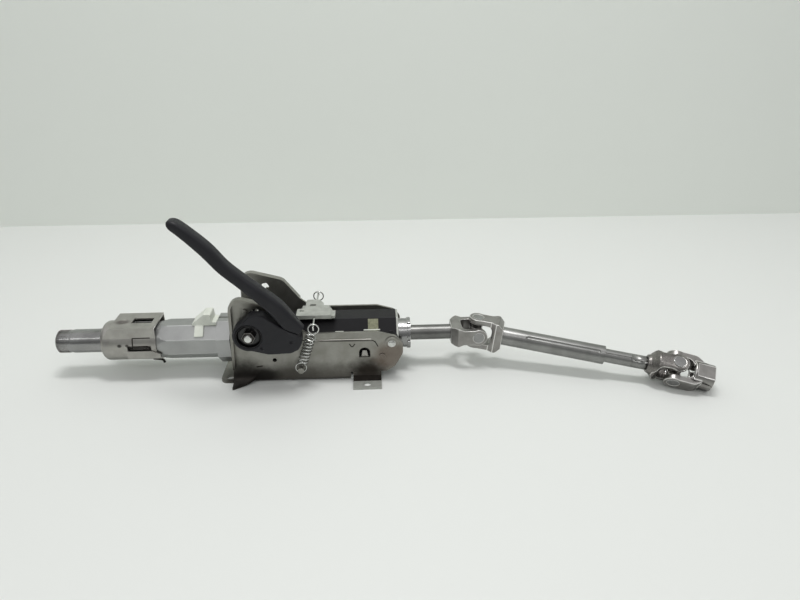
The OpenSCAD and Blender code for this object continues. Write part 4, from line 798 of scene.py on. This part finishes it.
# a smooth line through the listed values
def smoothValue(values, f):
    upper = next((i for i, (at, _) in enumerate(values) if at >= f and i > 0), len(values) - 1)
    (x0, y0), (x1, y1) = values[upper - 1], values[upper]
    before, after = values[max(upper - 2, 0)], values[min(upper + 1, len(values) - 1)]
    slope0 = (y1 - before[1]) / (x1 - before[0])
    slope1 = (after[1] - y0) / (after[0] - x0)
    t, span = (f - x0) / (x1 - x0), x1 - x0
    return ((2 * t ** 3 - 3 * t * t + 1) * y0 + (t ** 3 - 2 * t * t + t) * span * slope0
            + (3 * t * t - 2 * t ** 3) * y1 + (t ** 3 - t * t) * span * slope1)


def handleLoft(bolt):
    look = leverShape
    slope = math.radians(look["slope"])
    start = bolt + Vector(look["fold"]) - Vector((look["foldBack"], 0))
    along = Vector((-math.cos(slope), math.sin(slope)))
    upward = Vector((math.sin(slope), math.cos(slope)))
    points = []
    for ring in range(look["rings"] + 1):
        f = ring / look["rings"]
        past = max(0, f - look["tipFrom"]) / look["tipLength"]
        end = math.sqrt(max(look["tipLeast"], 1 - past ** 2))
        widened = min(f / look["widenBy"], 1)
        middle = start + along * f * look["handleLength"] + upward * smoothValue(look["rise"], f)
        thick = look["thick"] * smoothValue(look["swell"], f) * end
        wide = (look["hubThick"] + (look["width"] - look["hubThick"]) * widened) * math.sqrt(end)
        centreY = look["inner"] + (wide if widened < 1 else look["width"]) / 2 + look["lift"] * widened
        for side in range(look["sides"]):
            a = 2 * math.pi * side / look["sides"]
            across = wide / 2 * math.copysign(abs(math.cos(a)) ** look["squareness"], math.cos(a))
            up = thick / 2 * math.copysign(abs(math.sin(a)) ** look["squareness"], math.sin(a))
            place = middle + upward * up
            points.append(Vector((place.x, -centreY - across, place.y)) * mm)
    sides = look["sides"]
    faces = [tuple(range(sides)), tuple(reversed(range(len(points) - sides, len(points))))]
    for ring in range(look["rings"]):
        for side in range(sides):
            a, b = ring * sides + side, ring * sides + (side + 1) % sides
            faces.append((a, a + sides, b + sides, b))
    return points, faces


clampBolt = jointAt["lever_swing"] / mm
boltAt = Vector((clampBolt.x, clampBolt.z))
hubInner = -leverShape["inner"]
hubOuter = hubInner - leverShape["hubThick"]
cutPast = leverShape["cutPast"]
hubOutline = [boltAt + p for p in roundedOutline(leverShape["outline"])]
lever = prismAlongY("lever_moulding", hubOutline, hubOuter, hubInner)
boss = prismAlongY("boss", circleOutline(boltAt, leverShape["boss"]), hubOuter, hubInner)
cutAway(lever, boss, join=True)
boreOutline = circleOutline(boltAt, leverShape["bore"])
cutAway(lever, prismAlongY("bore", boreOutline, hubOuter - cutPast, hubInner + cutPast))
recessOutline = circleOutline(boltAt, leverShape["recess"])
cutAway(lever, prismAlongY("recess", recessOutline, hubOuter - cutPast, hubInner - leverShape["floor"]))
handlePoints, handleFaces = handleLoft(boltAt)
bm = bmesh.new()
bm.from_mesh(lever.data)
handleVerts = [bm.verts.new(p) for p in handlePoints]
handleNew = [bm.faces.new([handleVerts[i] for i in face]) for face in handleFaces]
bmesh.ops.recalc_face_normals(bm, faces=handleNew)
bm.to_mesh(lever.data)
bm.free()
remesh = lever.modifiers.new("skin", "REMESH")
remesh.mode = "VOXEL"
remesh.voxel_size = leverShape["voxel"] * mm
bakeModifiers(lever)
creaseFrom, creaseTo = [boltAt + Vector(p) for p in leverShape["crease"]]
creaseSide = (creaseTo - creaseFrom).orthogonal().normalized() * leverShape["creaseWide"] / 2
creaseOutline = [creaseFrom - creaseSide, creaseTo - creaseSide, creaseTo + creaseSide,
                 creaseFrom + creaseSide]
cutAway(lever, prismAlongY("crease", creaseOutline, hubOuter - leverShape["creaseOver"],
                           hubOuter + leverShape["creaseDeep"]))
for mark in leverShape["sinkMarks"]:
    sinkOutline = circleOutline(boltAt + Vector(mark), leverShape["sinkRadius"], leverShape["sinkSides"])
    cutAway(lever, prismAlongY("sink", sinkOutline, hubOuter - cutPast, hubOuter + leverShape["sinkDeep"]))
soften = lever.modifiers.new("soften", "SMOOTH")
soften.factor = leverShape["smoothShare"]
soften.iterations = leverShape["smoothSteps"]
bakeModifiers(lever)
lever.data.shade_smooth()
finishPiece(lever, "glassFilledNylon", "lever", ["lever"])
print("lever moulded:", len(lever.data.polygons), "faces")


# a turned shape: profile points are (radius, distance along the axis) in millimetres
def lathePiece(name, profile, place, axis, steps=64):
    points, faces = [], []
    turnTo = Vector((0, 0, 1)).rotation_difference(Vector(axis)).to_matrix()
    for radius, away in profile:
        for step in range(steps):
            a = 2 * math.pi * step / steps
            local = Vector((radius * math.cos(a), radius * math.sin(a), away)) * mm
            points.append(Vector(place) + turnTo @ local)
    for row in range(len(profile)):
        for step in range(steps):
            here, above = row * steps, (row + 1) % len(profile) * steps
            following = (step + 1) % steps
            faces.append((here + step, here + following, above + following, above + step))
    mesh = meshOf(name, points, faces)
    faceOutward(mesh)
    piece = newPiece(name, mesh)
    mesh.shade_smooth()
    return piece


# greased dish that lines the lever's recess around the clamp nut; its near-black tone also paints the shade
# inside the recess
dishShape = {"inner": 9.0, "outer": 14.1, "under": 0.1, "floor": 0.55, "lip": 5.6, "wall": 0.8,
             "fillet": 2.2, "filletStep": 15}
dishAt = Vector((boltAt.x, hubInner - leverShape["floor"], boltAt.y)) * mm
dishInside = dishShape["outer"] - dishShape["wall"]
dishProfile = [(dishShape["inner"], dishShape["under"]), (dishShape["inner"], dishShape["floor"])]
for stepAngle in range(0, 91, dishShape["filletStep"]):
    a = math.radians(stepAngle)
    dishProfile.append((dishInside - dishShape["fillet"] * (1 - math.sin(a)),
                        dishShape["floor"] + dishShape["fillet"] * (1 - math.cos(a))))
dishProfile += [(dishInside, dishShape["lip"]), (dishShape["outer"], dishShape["lip"]),
                (dishShape["outer"], dishShape["under"])]
dish = lathePiece("lever_dish", dishProfile, dishAt, (0, -1, 0))
finishPiece(dish, "greasedRubber", "lever")

# thread on the end of the clamp bolt, outside the nut
threadShape = {"bolt": 4.0, "pitch": 1.0, "depth": 0.38, "under": 0.12, "chamfer": 0.7}
boltLow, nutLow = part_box("clamp_bolt")[0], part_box("clamp_nut")[0]
threadLength = (nutLow[1] - boltLow[1]) - threadShape["chamfer"] * mm
print("thread outside the nut:", round(threadLength / mm, 2), "mm")
if threadLength > threadShape["pitch"] * mm:
    thread = growPiece("clamp_bolt_thread", meshOf("clamp_bolt_thread", [], []), threadTree,
                       {"Turns": threadLength / (threadShape["pitch"] * mm), "Length": threadLength,
                        "Thread Radius": (threadShape["bolt"] - threadShape["under"]) * mm,
                        "Depth": threadShape["depth"] * mm, "Finish": finishes["brightZinc"]})
    thread.data.transform(Matrix.Translation((clampBolt.x * mm, nutLow[1], clampBolt.z * mm))
                          @ Matrix.Rotation(math.radians(90), 4, "X"))
    finishPiece(thread, "brightZinc", "guide")

# fine teeth on the end that carries the steering wheel
splineShape = {"count": 40, "ring": 12.95, "tooth": 0.55, "length": 12.5, "start": 1.6}
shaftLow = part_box("upper_shaft")[0]
axisZ = jointAt["wheel_spin"].z
teeth = growPiece("wheel_spline_teeth", meshOf("wheel_spline_teeth", [], []), teethTree,
                  {"Count": splineShape["count"], "Ring Radius": splineShape["ring"] * mm,
                   "Tooth Radius": splineShape["tooth"] * mm, "Tooth Length": splineShape["length"] * mm,
                   "Finish": finishes["forgedSteel"]})
splineMiddle = shaftLow[0] + (splineShape["start"] + splineShape["length"] / 2) * mm
teeth.data.transform(Matrix.Translation((splineMiddle, 0, axisZ))
                     @ Matrix.Rotation(math.radians(90), 4, "Y"))
teeth.data.shade_flat()
finishPiece(teeth, "forgedSteel", "wheel_shaft")

# painted shade as dark lines on both cheeks: along the edge of the raised band, in a small mark under it and
# in a slot mark
cheekShape = {"face": 36, "bead": 0.6, "beadSunk": 0.2, "beadSides": 10, "mark": 0.6, "markSides": 8,
              "steps": 6,
              "band": [(2, 55), (84, 53.4), (88, 52.8), (91, 50.8), (92.6, 47.6), (94.1, 44.5)],
              "arrow": [(61.4, 48.8), (63.3, 45.2), (65.2, 45.2), (67.5, 48.6)],
              "slot": [(-47, 21.6), (-40, 22.4)]}
for sideName, side in (("right", -1), ("left", 1)):
    bandRoute = lineOnSide(solidPieces["console"], cheekShape["band"], cheekShape["steps"], side,
                           cheekShape["beadSunk"])
    detailWire("cheek_band_" + sideName, bandRoute, cheekShape["bead"], cheekShape["beadSides"], "paintedShadeBlack",
               "console")
    for pieceName, corners in (("cheek_mark_", "arrow"), ("cheek_slot_", "slot")):
        markRoute = [Vector((x, side * cheekShape["face"], z)) * mm for x, z in cheekShape[corners]]
        detailWire(pieceName + sideName, markRoute, cheekShape["mark"], cheekShape["markSides"], "paintedShadeBlack",
                   "console")

# a white strip under the damper pad and a short white strip, on the slanted face of the guide tube
stripShapes = {"pad_strip": {"from": 78, "to": 97, "at": (-21.7, 58.48), "wide": 1.4, "high": 1.45},
               "short_white_strip": {"from": 45, "to": 54.5, "at": (-22.2, 57.98), "wide": 0.7, "high": 0.1}}
slant, outward = Vector((0, 1, 1)).normalized(), Vector((0, -1, 1)).normalized()
for stripName, look in stripShapes.items():
    stripPoints = []
    for x in (look["from"], look["to"]):
        for across, up in ((-0.5, 0), (0.5, 0), (0.5, 1), (-0.5, 1)):
            stripPoints.append((Vector((x, *look["at"])) + slant * across * look["wide"]
                                + outward * up * look["high"]) * mm)
    stripMesh = meshOf(stripName, stripPoints, [(0, 1, 2, 3), (7, 6, 5, 4), (4, 5, 1, 0), (5, 6, 2, 1),
                                                (6, 7, 3, 2), (7, 4, 0, 3)])
    faceOutward(stripMesh)
    finishPiece(newPiece(stripName, stripMesh), "whiteAcetal", bodyOf["damper_pad"])

# neck of the inner shaft in front of the forged fork, with two stake marks on the side that is seen
neckShape = {"radius": 8.03, "bore": 7.4, "from": 50, "to": 27, "stakes": [44, 36.5], "stakeRadius": 0.9,
             "stakeSide": (-0.3, -0.75, 0.55)}
neckProfile = [(neckShape["bore"], -neckShape["from"]), (neckShape["radius"], -neckShape["from"]),
               (neckShape["radius"], -neckShape["to"]), (neckShape["bore"], -neckShape["to"])]
neck = lathePiece("inner_shaft_neck", neckProfile, jointAt["second_joint_swing"], slideAxis)
stakeSide = Vector(neckShape["stakeSide"])
stakeSide = (stakeSide - slideAxis * stakeSide.dot(slideAxis)).normalized()
for away in neckShape["stakes"]:
    pressedBall(neck, forkShape["joint"] - slideAxis * away + stakeSide * neckShape["radius"],
                [neckShape["stakeRadius"]] * 3)
finishPiece(neck, "coldDrawnSteel", "inner_shaft")

# painted shade as a dark angled line in the groove around the window in the side of the lock housing
lineShape = {"corners": [(-168, 54.5), (-188, 54.5), (-188, 46)], "wire": 0.75, "sides": 8, "sunk": 0.35,
             "steps": 8}
lineRoute = lineOnSide(solidPieces["lock_housing"], lineShape["corners"], lineShape["steps"], -1,
                       lineShape["sunk"])
detailWire("housing_line", lineRoute, lineShape["wire"], lineShape["sides"], "paintedShadeBlack", "lock_housing")

# hook under the lock housing
hookShape = {"line": [(-173, -9, 20.6), (-164, -9, 19.4), (-161.6, -9, 18.2), (-160.8, -9, 14.8)],
             "wire": 1.5, "sides": 12}
hookRoute = [Vector(p) * mm for p in hookShape["line"]]
detailWire("housing_hook", hookRoute, hookShape["wire"], hookShape["sides"], "bluedSteel", "lock_housing")
print("small details added")
